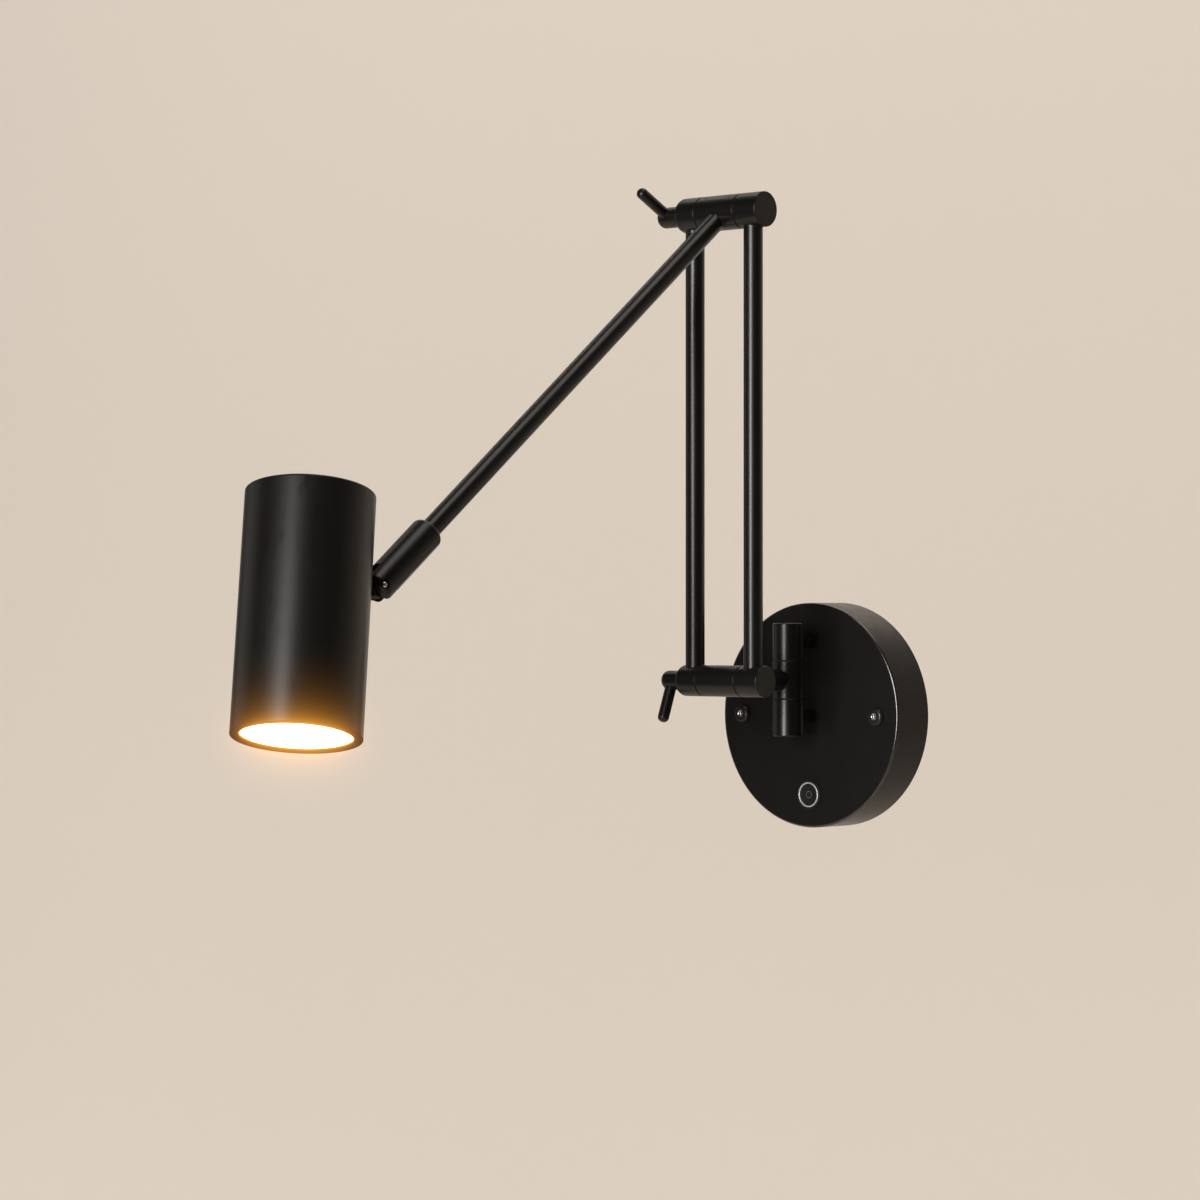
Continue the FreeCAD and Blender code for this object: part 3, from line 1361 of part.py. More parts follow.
def reflector():
    # A conical cup between the board and the diffuser
    cup = new_body("reflector", LAMP)
    throat = "dims.reflector_throat_diameter / 2"
    rim = "(%s - dims.seat_clearance)" % TRIM_BORE
    mouth = "(%s - dims.reflector_flange_width)" % rim
    skin = "dims.reflector_skin"
    flange_top = "%s + dims.reflector_flange_thickness" % REFLECTOR_UNDER
    turned(cup, "section", [
        (mouth, REFLECTOR_UNDER),
        (rim, REFLECTOR_UNDER),
        (rim, flange_top),
        ("%s + %s" % (mouth, skin), flange_top),
        ("%s + %s" % (throat, skin), BOARD_UNDER),
        (throat, BOARD_UNDER),
    ])
    keep(cup)


def light_source():
    source = new_body("light_source", joined(LAMP, frame(z="%s - dims.source_thickness" % BOARD_UNDER)))
    pad(source, circles(source, "disc", "XY_Plane", [("0", "0", "dims.source_diameter / 2")]),
        "dims.source_thickness")
    keep(source)


def light_board():
    board = new_body("light_board", joined(LAMP, frame(z=BOARD_UNDER)))
    hole = "dims.board_screw_diameter / 2 + dims.hole_clearance"
    disc = circles(board, "disc", "XY_Plane", [
        ("0", "0", BOARD_RADIUS),
        (BOARD_SCREW_PLACE, "0", hole),
        ("-" + BOARD_SCREW_PLACE, "0", hole),
    ])
    pad(board, disc, "dims.board_thickness")
    keep(board)


def board_screws():
    screws = []
    for side, sign in (("left", "-"), ("right", "")):
        place = joined(LAMP, frame(x=sign + BOARD_SCREW_PLACE, z=BOARD_UNDER),
                       frame(axis="1; 0; 0", angle="180"))
        screws.append(slotted_screw("board_screw_" + side, place, "dims.board_screw_head_diameter / 2",
                                    "dims.board_screw_head_height", "dims.board_screw_diameter / 2",
                                    "dims.board_thickness + dims.board_screw_depth"))
    keep_group("board_screws", screws)


def heat_sink():
    sink = new_body("heat_sink", joined(LAMP, frame(z=SINK_UNDER)))
    base = circles(sink, "base", "XY_Plane", [("0", "0", SINK_RADIUS)])
    pad(sink, base, "dims.sink_base_thickness")
    screw = "dims.board_screw_diameter / 2 + dims.thread_clearance"
    holes = circles(sink, "screw_holes", "XY_Plane", [
        (BOARD_SCREW_PLACE, "0", screw),
        ("-" + BOARD_SCREW_PLACE, "0", screw),
    ])
    pocket(sink, holes, "dims.board_screw_depth + dims.pin_end_gap", backwards=True)
    core = circles(sink, "core", "XY_Plane", [("0", "0", "dims.sink_core_diameter / 2")],
                   lift="dims.sink_base_thickness")
    pad(sink, core, "dims.sink_fin_height")
    half = "dims.sink_fin_thickness / 2"
    tip = "%s - dims.sink_fin_inset" % UPPER_BORE
    blade = outline(sink, "blade", "XY_Plane", [
        ("0", "-" + half),
        (tip, "-" + half),
        (tip, half),
        ("0", half),
    ], lift="dims.sink_base_thickness")
    fin = pad(sink, blade, "dims.sink_fin_height")
    fins = sink.newObject("PartDesign::PolarPattern", "fins")
    fins.Originals = [fin]
    fins.Axis = (blade, ["N_Axis"])
    fins.Angle = FULL_TURN
    fins.setExpression("Occurrences", "dims.sink_fin_count")
    sink.Tip = fins
    doc.recompute()
    keep(sink)


def build_canopy():
    canopy_cover()
    wall_plate()
    cable_bush()
    cover_pillars()
    cover_screws()
    driver_housing()
    driver_screws()
    terminal_block()
    terminal_screws()
    earth_screw()
    button_housing()
    button_ring()
    button_cap()
    button_nut()
    switch_body()


def build_hinge():
    hinge_knuckle_upper()
    hinge_knuckle_middle()
    hinge_knuckle_lower()
    hinge_pin()
    hinge_washers()
    for side in POST_LEVELS:
        hinge_post(side)
    backing_plate()
    post_washers()
    post_nuts()
    swivel_stub()


def build_barrels():
    lower_barrel_middle()
    upper_barrel_middle()
    for side in BARRELS:
        barrel_left(side)
        barrel_right(side)
        barrel_washers(side)
        clamp_bolt(side)
        clamp_boss(side)
        clamp_lever(side)


def build_arms():
    upright_rod("left", "-")
    upright_rod("right", "")
    upper_arm_tube()
    arm_sleeve()
    sleeve_grub_screw()
    tilt_pin()
    tilt_washers()


def build_head():
    tilt_lug()
    lug_screws()
    head_shell()
    trim_ring()
    diffuser()
    reflector()
    light_source()
    light_board()
    board_screws()
    heat_sink()


def check_document():
    for item in doc.Objects:
        if "Invalid" in item.State or "Error" in item.State:
            raise RuntimeError("failed object: " + item.Name)
    for part in parts:
        if part.Shape.isNull() or not part.Shape.isValid():
            raise RuntimeError("bad shape: " + part.Label)


def export_parts():
    os.makedirs("parts", exist_ok=True)
    for part in parts:
        part.Shape.exportStep(os.path.join("parts", part.Label + ".step"))


fill_sheet()
build_canopy()
build_hinge()
build_barrels()
build_arms()
build_head()
doc.recompute()
check_document()
export_parts()
print("%d sub-parts" % len(parts))
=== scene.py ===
import json
import math

import bmesh
import bpy
from mathutils import Matrix, Vector


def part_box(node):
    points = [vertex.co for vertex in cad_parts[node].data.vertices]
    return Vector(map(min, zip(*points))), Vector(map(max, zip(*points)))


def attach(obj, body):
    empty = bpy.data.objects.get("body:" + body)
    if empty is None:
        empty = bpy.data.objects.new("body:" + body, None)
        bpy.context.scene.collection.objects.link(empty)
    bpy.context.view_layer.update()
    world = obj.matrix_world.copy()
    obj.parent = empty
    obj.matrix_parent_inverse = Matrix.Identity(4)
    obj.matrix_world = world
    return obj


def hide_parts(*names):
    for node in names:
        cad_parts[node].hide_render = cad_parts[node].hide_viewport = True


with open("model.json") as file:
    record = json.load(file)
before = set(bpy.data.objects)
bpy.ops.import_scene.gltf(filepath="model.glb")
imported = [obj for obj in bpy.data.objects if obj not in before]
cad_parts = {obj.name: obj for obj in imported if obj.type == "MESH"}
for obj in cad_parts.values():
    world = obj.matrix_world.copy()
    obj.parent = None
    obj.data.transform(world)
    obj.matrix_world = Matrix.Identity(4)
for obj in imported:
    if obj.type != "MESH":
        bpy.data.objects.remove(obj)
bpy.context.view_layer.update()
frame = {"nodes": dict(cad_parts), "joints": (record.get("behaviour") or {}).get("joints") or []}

# The studio. A pale paper sweep stands well behind the lamp, with a tall soft light
# in front of it, a smaller one over that and faint ones at its left and above, and
# a long lens looks at the lamp from the right, level with its canopy.

PAPER = (0.78, 0.71, 0.625)
PAPER_SHADE = 0.96
FLOOR = -1.0
LENS = 111.8
CAMERA_PLACE = (1.2643, -1.5662, 0.0573)
CAMERA_TURN = 0.7434
CAMERA_RISE = 0.0021


class Tap:
    """A value that runs between the nodes of a finish, so that its sums read as sums."""

    def __init__(self, finish, socket):
        self.finish, self.socket = finish, socket

    def __getitem__(self, output):
        return Tap(self.finish, self.socket.node.outputs[output])

    def maths(self, operation, *values):
        return self.finish.node("ShaderNodeMath", {"operation": operation}, dict(enumerate(values)))

    def __add__(self, other):
        return self.maths("ADD", self, other)

    __radd__ = __add__

    def __sub__(self, other):
        return self.maths("SUBTRACT", self, other)

    def __mul__(self, other):
        return self.maths("MULTIPLY", self, other)


class Finish:
    """A surface finish. Its fixed numbers sit on the shader itself, and nodes vary the rest."""

    def __init__(self, name, fixed):
        self.material = bpy.data.materials.new(name)
        self.material.use_nodes = True
        self.tree = self.material.node_tree
        self.shader = self.tree.nodes["Principled BSDF"]
        self.place = self.node("ShaderNodeTexCoord")["Object"]
        for socket, value in fixed.items():
            self.shader.inputs[socket].default_value = value

    def node(self, kind, settings=None, values=None):
        """A new node of a kind, with its settings and the values or taps of its sockets."""
        made = self.tree.nodes.new(kind)
        for setting, value in (settings or {}).items():
            setattr(made, setting, value)
        for socket, value in (values or {}).items():
            if isinstance(value, Tap):
                self.tree.links.new(value.socket, made.inputs[socket])
            else:
                made.inputs[socket].default_value = value
        return Tap(self, made.outputs[0])

    def noise(self, size, detail=2, place=None):
        """Cloudy variation from 0 to 1 whose clouds are about size metres across."""
        return self.node("ShaderNodeTexNoise", {}, {
            "Vector": place or self.place, "Scale": 1 / size, "Detail": detail})

    def stretched(self, x, y, z):
        """Places for a noise that is drawn out along the axes with a factor below 1."""
        return self.node("ShaderNodeVectorMath", {"operation": "MULTIPLY"}, {0: self.place, 1: (x, y, z)})

    def step(self, value, low, high, to_low=0, to_high=1):
        """Value eased from to_low to to_high as it goes from low to high."""
        return self.node("ShaderNodeMapRange", {"interpolation_type": "SMOOTHSTEP"}, {
            "Value": value, "From Min": low, "From Max": high, "To Min": to_low, "To Max": to_high})

    def blend(self, amount, first, second):
        """Colour that goes from first to second as amount goes from 0 to 1, and on beyond."""
        pair = self.node("ShaderNodeMix", {"data_type": "RGBA", "clamp_factor": False})
        inputs = pair.socket.node.inputs
        for socket, value in ((inputs[0], amount), (inputs[6], first), (inputs[7], second)):
            if isinstance(value, Tap):
                self.tree.links.new(value.socket, socket)
            else:
                socket.default_value = value if socket == inputs[0] else (*value, 1)
        return Tap(self, pair.socket.node.outputs[2])

    def feed(self, **taps):
        """Links taps to the shader's sockets, whose names have _ for a space here."""
        for socket, tap in taps.items():
            self.tree.links.new(tap.socket, self.shader.inputs[socket.replace("_", " ")])

    def relief(self, height, depth):
        """Raises the surface by height, where 1 stands depth metres proud."""
        self.feed(Normal=self.node("ShaderNodeBump", {}, {"Height": height, "Distance": depth}))


def paper_sweep(half_width, front, back, floor, top, bend, steps=24):
    """One sheet that runs along the floor, round a bend and up."""
    line = [(front, floor)]
    for step in range(steps + 1):
        turn = math.pi / 2 * step / steps
        line.append((back - bend + bend * math.sin(turn), floor + bend - bend * math.cos(turn)))
    line.append((back, top))
    verts = [(x, y, z) for y, z in line for x in (-half_width, half_width)]
    faces = [(i, i + 1, i + 3, i + 2) for i in range(0, len(verts) - 2, 2)]
    mesh = bpy.data.meshes.new("paper_sweep")
    mesh.from_pydata(verts, [], faces)
    mesh.shade_smooth()
    sweep = bpy.data.objects.new("paper_sweep", mesh)
    bpy.context.scene.collection.objects.link(sweep)
    return sweep


paper = Finish("studio paper", {"Roughness": 0.9, "Specular IOR Level": 0.2, "Emission Strength": 0.36})
fibres = paper.noise(0.004, detail=4)
clouds = paper.noise(0.9)
tone = paper.blend(clouds * 0.5 + fibres * 0.2, PAPER, tuple(PAPER_SHADE * c for c in PAPER))

# The left end of the paper, where less light falls, glows more than the rest, and what
# the lamp mirrors of the paper is dimmer towards the right and close to the floor.
spot = paper.node("ShaderNodeSeparateXYZ", {}, {0: paper.place})
shown = paper.step(spot["X"], -4.6, -1.0, to_low=1.4, to_high=0.8)
rightward = paper.step(spot["X"], -1.0, 2.2, to_low=1, to_high=0.2)
upward = paper.step(spot["Z"], FLOOR, FLOOR + 0.2, to_low=0.3, to_high=1)
mirrored = shown * rightward * upward
direct = paper.node("ShaderNodeLightPath")["Is Camera Ray"]
glow = paper.blend(mirrored + (shown - mirrored) * direct, (0, 0, 0), tone)
paper.feed(Base_Color=tone, Emission_Color=glow)
paper.relief(fibres, 0.0002)

sweep = paper_sweep(half_width=7.0, front=-1.6, back=2.4, floor=FLOOR, top=4.0, bend=0.8)
sweep.data.materials.append(paper.material)


def soft_light(name, place, target, size, watts, colour):
    """A rectangular soft light that shines from a place to a target and isn't seen itself."""
    light = bpy.data.lights.new(name, "AREA")
    light.shape = "RECTANGLE"
    light.size, light.size_y = size
    light.energy = watts
    light.color = colour
    stand = bpy.data.objects.new(name, light)
    stand.location = place
    stand.rotation_euler = (Vector(target) - Vector(place)).to_track_quat("-Z", "Y").to_euler()
    stand.visible_camera = False
    bpy.context.scene.collection.objects.link(stand)


soft_light("front_light", place=(0.35, -2.7, 0.15), target=(0, -0.2, 0.1),
           size=(0.8, 1.2), watts=52, colour=(1.0, 0.97, 0.94))
soft_light("upper_front_light", place=(0.75, -2.7, 0.90), target=(0, -0.38, 0.05),
           size=(0.8, 0.5), watts=20, colour=(1.0, 0.97, 0.94))
soft_light("left_light", place=(-3.0, -1.2, 0.4), target=(0, -0.2, 0.1),
           size=(2.0, 2.0), watts=4.5, colour=(1.0, 0.95, 0.88))
soft_light("overhead_light", place=(0.6, -0.2, 2.6), target=(0, 0, 0),
           size=(1.6, 1.2), watts=16, colour=(1.0, 0.92, 0.84))
soft_light("sweep_light", place=(-1.6, 1.3, 2.9), target=(-2.4, 2.4, 0.2),
           size=(4.0, 0.6), watts=38, colour=(1.0, 0.96, 0.92))

# The air round the lamp is dim and warm, and where the lens sees past the paper it sees
# the paper's colour.
studio = bpy.data.worlds.new("studio")
studio.use_nodes = True
bpy.context.scene.world = studio
air = studio.node_tree
room = air.nodes["Background"]
room.inputs["Color"].default_value = (1.0, 0.91, 0.80, 1)
room.inputs["Strength"].default_value = 0.04
seen = air.nodes.new("ShaderNodeBackground")
seen.inputs["Color"].default_value = (*PAPER, 1)
seen.inputs["Strength"].default_value = 0.9
share = air.nodes.new("ShaderNodeMixShader")
air.links.new(air.nodes.new("ShaderNodeLightPath").outputs["Is Camera Ray"], share.inputs[0])
air.links.new(room.outputs[0], share.inputs[1])
air.links.new(seen.outputs[0], share.inputs[2])
air.links.new(share.outputs[0], air.nodes["World Output"].inputs["Surface"])
bpy.context.scene.view_settings.view_transform = "Standard"

camera = bpy.data.objects.new("camera", bpy.data.cameras.new("camera"))
camera.data.lens = LENS
camera.location = CAMERA_PLACE
camera.rotation_euler = (math.pi / 2 + CAMERA_RISE, 0, CAMERA_TURN)
bpy.context.scene.collection.objects.link(camera)
bpy.context.scene.camera = camera


# The canopy cover. A cup spun from 1.5 mm sheet steel, painted satin black, with
# punched holes for the two posts, the push button and the two screws that hold it.

MM = 0.001
CANOPY_RADIUS = 60
CANOPY_DEPTH = 26.0
CANOPY_SHEET = 1.5
CANOPY_ROUND = 1.3
CANOPY_INNER_ROUND = 0.6
CANOPY_RIM_ROUND = 0.25
FLAT_MARGIN = 2.4
SCREW_OUT = 46.0
SCREW_HOLE = 2.75
POST_LEVELS = (39.4, -1.0)
POST_HOLE = 3.25
BUTTON_LEVEL = -42.4
BUTTON_HOLE = 7.15
PUNCH_REACH = 6
CANOPY_BLACK = (0.0054, 0.0050, 0.0045)
DUST = (0.24, 0.21, 0.18)


def standing(origin, along, across=(1, 0, 0)):
    """A place at origin in metres, with Z along a direction and X as near across as it can be."""
    z = Vector(along).normalized()
    x = (Vector(across) - z * z.dot(Vector(across))).normalized()
    place = Matrix((x, z.cross(x), z)).transposed().to_4x4()
    place.translation = origin
    return place


def rounded(corners, steps):
    """Outline in which each (radius, height, round, sides) corner with a round becomes an arc."""
    corners = [(*corner, 0, 0)[:4] for corner in corners]
    points = []
    for i, (radius, height, bend, sides) in enumerate(corners):
        here = Vector((radius, height))
        if not bend:
            points.append((radius, height, sides))
            continue
        back = (Vector(corners[i - 1][:2]) - here).normalized()
        on = (Vector(corners[(i + 1) % len(corners)][:2]) - here).normalized()
        half = back.angle(on) / 2
        centre = here + (back + on).normalized() * bend / math.sin(half)
        start, end = (here + way * bend / math.tan(half) - centre for way in (back, on))
        first = math.atan2(start.y, start.x)
        sweep = (math.atan2(end.y, end.x) - first + math.pi) % (2 * math.pi) - math.pi
        for step in range(steps + 1):
            turn = first + sweep * step / steps
            points.append((centre.x + bend * math.cos(turn), centre.y + bend * math.sin(turn), sides))
    return points


def smoothed(piece, crisp=32):
    """Smooth faces, with edges kept crisp above an angle, and flat faces that stay flat."""
    piece.data.shade_smooth()
    piece.data.set_sharp_from_angle(angle=math.radians(crisp))
    modifier = piece.modifiers.new("even_shading", "WEIGHTED_NORMAL")
    modifier.keep_sharp = True
    modifier.weight = 100
    return piece


def built(name, place, verts, faces, finish):
    """A piece from points in millimetres from a place, with its faces turned outwards."""
    mesh = bpy.data.meshes.new(name)
    mesh.from_pydata([place @ (Vector(v) * MM) for v in verts], [], faces)
    shape = bmesh.new()
    shape.from_mesh(mesh)
    bmesh.ops.recalc_face_normals(shape, faces=shape.faces)
    shape.to_mesh(mesh)
    shape.free()
    mesh.materials.append(finish.material)
    piece = bpy.data.objects.new(name, mesh)
    bpy.context.scene.collection.objects.link(piece)
    return piece


def turned(name, place, corners, finish, around=96, steps=5):
    """A piece turned round Z from (radius, height, round, sides) corners. Sides makes flats."""
    verts, loops = [], []
    outline = rounded(corners, steps)
    for index, (radius, height, sides) in enumerate(outline):
        beside = (outline[index - 1][1], outline[(index + 1) % len(outline)][1])
        # The middle of a flat end needs no point, because one face closes it.
        count = around if radius else int(height not in beside)
        loop = []
        for i in range(count):
            turn = 2 * math.pi * i / around
            flat = math.pi / sides if sides else 0
            reach = radius / math.cos((turn + flat) % (2 * flat) - flat) if sides else radius
            loop.append(len(verts))
            verts.append((reach * math.cos(turn), reach * math.sin(turn), height))
        loops.append(loop)
    faces = []
    for low, high in zip(loops, loops[1:] + loops[:1]):
        if not (low and high):
            faces += [loop for loop in (low, high) if len(loop) > 2]
            continue
        for i in range(around):
            j = i + 1
            corner = (low[i % len(low)], low[j % len(low)], high[j % len(high)], high[i % len(high)])
            face = list(dict.fromkeys(corner))
            if len(face) > 2:
                faces.append(face)
    return smoothed(built(name, place, verts, faces, finish))


def drill(name, place, radius, low, high, finish):
    """A plain drill or punch, to be cut out of a piece."""
    return turned(name, place, [(0, low), (radius, low), (radius, high), (0, high)], finish, around=48)


def cut(piece, cutters, break_width=0, bevel_steps=3, bevel_angle=40):
    """Cuts each of the cutters out of the piece and throws them away. Break_width eases edges."""
    for cutter in cutters:
        saw = piece.modifiers.new("cut", "BOOLEAN")
        saw.object, saw.operation, saw.solver = cutter, "DIFFERENCE", "EXACT"
    if break_width:
        ease = piece.modifiers.new("edge_break", "BEVEL")
        ease.width = break_width * MM
        ease.segments = bevel_steps
        ease.limit_method = "ANGLE"
        ease.angle_limit = math.radians(bevel_angle)
    piece.modifiers.remove(piece.modifiers["even_shading"])
    bpy.context.view_layer.update()
    whole = piece.evaluated_get(bpy.context.evaluated_depsgraph_get())
    mesh = bpy.data.meshes.new_from_object(whole)
    mesh.name = piece.name
    piece.modifiers.clear()
    piece.data = mesh
    for cutter in cutters:
        bpy.data.objects.remove(cutter)
    return smoothed(piece)


def recoat(piece, place, finish, covers):
    """Gives a second finish to faces, chosen by how far out from a place and how high they are."""
    piece.data.materials.append(finish.material)
    for face in piece.data.polygons:
        middle = place.inverted() @ face.center / MM
        if covers(math.hypot(middle.x, middle.y), middle.z):
            face.material_index = 1


def fit(piece, node, body):
    """Lets a piece stand for a node, whose own shape is hidden, and move with a body."""
    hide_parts(node)
    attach(piece, body)


def coat(name, colour, roughness, peel, gloss=0.45):
    """Black coat on metal, with a fine peel, handling marks and a little settled dust."""
    finish = Finish(name, {"Specular IOR Level": gloss})
    broad = finish.noise(0.035, detail=3)
    marks = finish.step(finish.noise(0.004, 4, finish.stretched(1, 1, 0.12)), 0.56, 0.74)
    grain = finish.noise(0.0009, detail=3)
    facing = finish.node("ShaderNodeNewGeometry")["Normal"]
    upward = finish.node("ShaderNodeSeparateXYZ", {}, {0: facing})["Z"]
    dust = finish.step(upward, 0.55, 1.0) * finish.step(finish.noise(0.006, detail=5), 0.35, 0.8)
    tint = finish.blend(broad, colour, tuple(1.5 * c for c in colour))
    finish.feed(
        Base_Color=finish.blend(dust * 0.06, tint, DUST),
        Roughness=roughness + broad * 0.06 + grain * 0.04 - marks * 0.05 + dust * 0.15)
    finish.relief(grain + broad * 0.4, peel * MM)
    return finish


def on_canopy(across, level, stand=CANOPY_DEPTH):
    """A place on the canopy's face that looks out from the wall, by millimetres."""
    return standing(Vector((across, -stand, level)) * MM, (0, -1, 0))


canopy_paint = coat("satin black paint on steel", CANOPY_BLACK, 0.34, peel=0.018, gloss=0.2)
canopy_paint.shader.inputs["Coat Weight"].default_value = 0.3
canopy_paint.shader.inputs["Coat Roughness"].default_value = 0.22
edge_paint = coat("thin paint on the canopy's edge", CANOPY_BLACK, 0.16, peel=0.004, gloss=1.0)

canopy_place = on_canopy(0, 0, stand=0)
inner_radius = CANOPY_RADIUS - CANOPY_SHEET
inner_depth = CANOPY_DEPTH - CANOPY_SHEET
cover = turned("canopy_cover", canopy_place, [
    (0, CANOPY_DEPTH), (CANOPY_RADIUS - FLAT_MARGIN, CANOPY_DEPTH),
    (CANOPY_RADIUS, CANOPY_DEPTH, CANOPY_ROUND), (CANOPY_RADIUS, 0, CANOPY_RIM_ROUND),
    (inner_radius, 0, CANOPY_RIM_ROUND), (inner_radius, inner_depth, CANOPY_INNER_ROUND),
    (0, inner_depth)], canopy_paint, around=240)
holes = [(SCREW_OUT, 0, SCREW_HOLE), (-SCREW_OUT, 0, SCREW_HOLE), (0, BUTTON_LEVEL, BUTTON_HOLE)]
holes += [(0, level, POST_HOLE) for level in POST_LEVELS]
cut(cover, [drill("punch", on_canopy(across, level), radius, -PUNCH_REACH, PUNCH_REACH, canopy_paint)
            for across, level, radius in holes])
recoat(cover, canopy_place, edge_paint, lambda out, up: (
    out > CANOPY_RADIUS - CANOPY_ROUND and CANOPY_DEPTH - CANOPY_ROUND < up < CANOPY_DEPTH - 0.01))
fit(cover, "canopy_cover", "canopy")


# Fixings behind the cover. The wall plate, pillars, washers, nuts and backing plate are
# zinc plated steel, the bush, the driver and the switch are moulded in black plastic,
# and a white terminal block holds brass screws.


def dress(finish, *nodes):
    """Gives a finish to pieces whose own shape is already right."""
    for node in nodes:
        for slot in frame["nodes"][node].material_slots:
            slot.material = finish.material


zinc = Finish("zinc plated steel", {"Metallic": 1.0})
spangle = zinc.node("ShaderNodeTexVoronoi", {"feature": "F1"}, {"Vector": zinc.place, "Scale": 450})["Color"]
haze = zinc.noise(0.012, detail=4)
scuffs = zinc.step(zinc.noise(0.0022, 5, zinc.stretched(0.15, 1, 1)), 0.58, 0.72)
zinc.feed(
    Base_Color=zinc.blend(haze, (0.50, 0.51, 0.53), (0.66, 0.64, 0.58)),
    Roughness=0.30 + haze * 0.22 + scuffs * 0.12)
zinc.relief(zinc.noise(0.0007, detail=3) + spangle * 0.25 - scuffs * 0.6, 0.00002)
dress(zinc, "wall_plate", "cover_pillars", "backing_plate", "post_washers", "post_nuts", "driver_screws")

black_plastic = Finish("moulded black plastic", {"Specular IOR Level": 0.25})
leather = black_plastic.noise(0.0008)
bloom = black_plastic.noise(0.015, detail=3)
black_plastic.feed(
    Base_Color=black_plastic.blend(bloom, (0.0050, 0.0050, 0.0052), (0.0100, 0.0096, 0.0090)),
    Roughness=0.42 + leather * 0.12 + bloom * 0.08)
black_plastic.relief(leather, 0.00003)
dress(black_plastic, "cable_bush", "driver_housing", "switch_body")

white_plastic = Finish("moulded white plastic", {"Subsurface Weight": 0.08})
milk = white_plastic.noise(0.01, detail=3)
speck = white_plastic.noise(0.0006)
white_plastic.feed(
    Base_Color=white_plastic.blend(milk, (0.80, 0.79, 0.75), (0.70, 0.68, 0.62)),
    Roughness=0.34 + speck * 0.14)
white_plastic.relief(speck, 0.00002)
dress(white_plastic, "terminal_block")

brass = Finish("turned brass", {"Metallic": 1.0})
tarnish = brass.noise(0.003, detail=4)
lines = brass.noise(0.0003, 2, brass.stretched(1, 0.1, 1))
brass.feed(
    Base_Color=brass.blend(brass.step(tarnish, 0.4, 0.75), (0.80, 0.61, 0.27), (0.46, 0.30, 0.12)),
    Roughness=0.24 + tarnish * 0.2 + lines * 0.08)
brass.relief(lines, 0.00001)
dress(brass, "terminal_screws", "earth_screw")


# The cover screws. Button-head socket screws of blackened steel, one each side,
# with the sockets rubbed bright by the key.

SCREW_HEAD_RADIUS = 4.8
SCREW_HEAD_RISE = 2.6
SCREW_HEAD_ROUND = 1.7
SCREW_UNDER_ROUND = 0.15
SCREW_CROWN_RADIUS = 2.2
SCREW_RADIUS = 2.5
SCREW_LENGTH = 10.0
SCREW_CHAMFER = 0.4
SOCKET_HALF = 1.5
SOCKET_DEPTH = 1.5
SOCKET_CONE = 0.25
SOCKET_LEAD = 0.2
SOCKET_FLARE = 0.35
HEXAGON = 6

oxide = Finish("blackened steel", {"Metallic": 0.7})
rub = oxide.noise(0.0011, detail=4)
oxide.feed(
    Base_Color=oxide.blend(rub, (0.020, 0.019, 0.019), (0.050, 0.047, 0.044)),
    Roughness=0.26 + rub * 0.16)
oxide.relief(rub, 0.00001)

rubbed = Finish("steel rubbed bright", {"Metallic": 1.0})
wear = rubbed.noise(0.0007, detail=3)
rubbed.feed(
    Base_Color=rubbed.blend(wear, (0.74, 0.73, 0.71), (0.46, 0.45, 0.44)),
    Roughness=0.16 + wear * 0.2)
rubbed.relief(wear, 0.000008)

socket_floor = SCREW_HEAD_RISE - SOCKET_DEPTH
for side, sign in (("left", -1), ("right", 1)):
    place = on_canopy(sign * SCREW_OUT, 0)
    screw = turned("cover_screw_" + side, place, [
        (0, socket_floor - SOCKET_CONE), (SOCKET_HALF, socket_floor, 0, HEXAGON),
        (SOCKET_HALF, SCREW_HEAD_RISE - SOCKET_LEAD, 0, HEXAGON),
        (SOCKET_HALF + SOCKET_FLARE, SCREW_HEAD_RISE), (SCREW_CROWN_RADIUS, SCREW_HEAD_RISE),
        (SCREW_HEAD_RADIUS, SCREW_HEAD_RISE, SCREW_HEAD_ROUND),
        (SCREW_HEAD_RADIUS, 0, SCREW_UNDER_ROUND), (SCREW_RADIUS, 0),
        (SCREW_RADIUS, SCREW_CHAMFER - SCREW_LENGTH),
        (SCREW_RADIUS - SCREW_CHAMFER, -SCREW_LENGTH), (0, -SCREW_LENGTH)], oxide)
    recoat(screw, place, rubbed, lambda out, up: up > 0 and out < SOCKET_HALF + SOCKET_FLARE)
    fit(screw, "cover_screws", "canopy")


# The push button. A black housing with a thin flange is nutted behind the face,
# with a polished ring pressed into it round a black cap that goes in a millimetre.
# The cap's mark is a plain moulded ring in grey.

HOUSING_RADIUS = 6.9
HOUSING_BORE = 5.78
HOUSING_DEPTH = 10
HOUSING_ROUND = 0.3
FLANGE_RADIUS = 8.0
FLANGE_THICK = 0.7
FLANGE_BACK_ROUND = 0.1
FLANGE_INNER_ROUND = 0.08
SEAT_RADIUS = 6.73
SEAT_LEVEL = 0.05
RING_RADIUS = 6.68
RING_BORE = 5.88
RING_TOP = 1.05
RING_ROUND = 0.3
CAP_RADIUS = 5.63
CAP_TOP = 0.6
CAP_MIDDLE = 0.34
CAP_SKIRT = 2
CAP_ROUND = 0.25
CAP_SKIRT_ROUND = 0.2
DISH_RADIUS = 5.0
DISH_ROUND = 0.5
DISH_BEND = (3.6, 0.44, 0.6)
MARK_INNER = 1.55
MARK_OUTER = 1.95
MARK_LEVEL = 0.24
MARK_SLOPE = 0.12
MARK_ROUND = 0.05
STEM_RADIUS = 2
STEM_LENGTH = 8.6
STEM_ROUND = 0.3

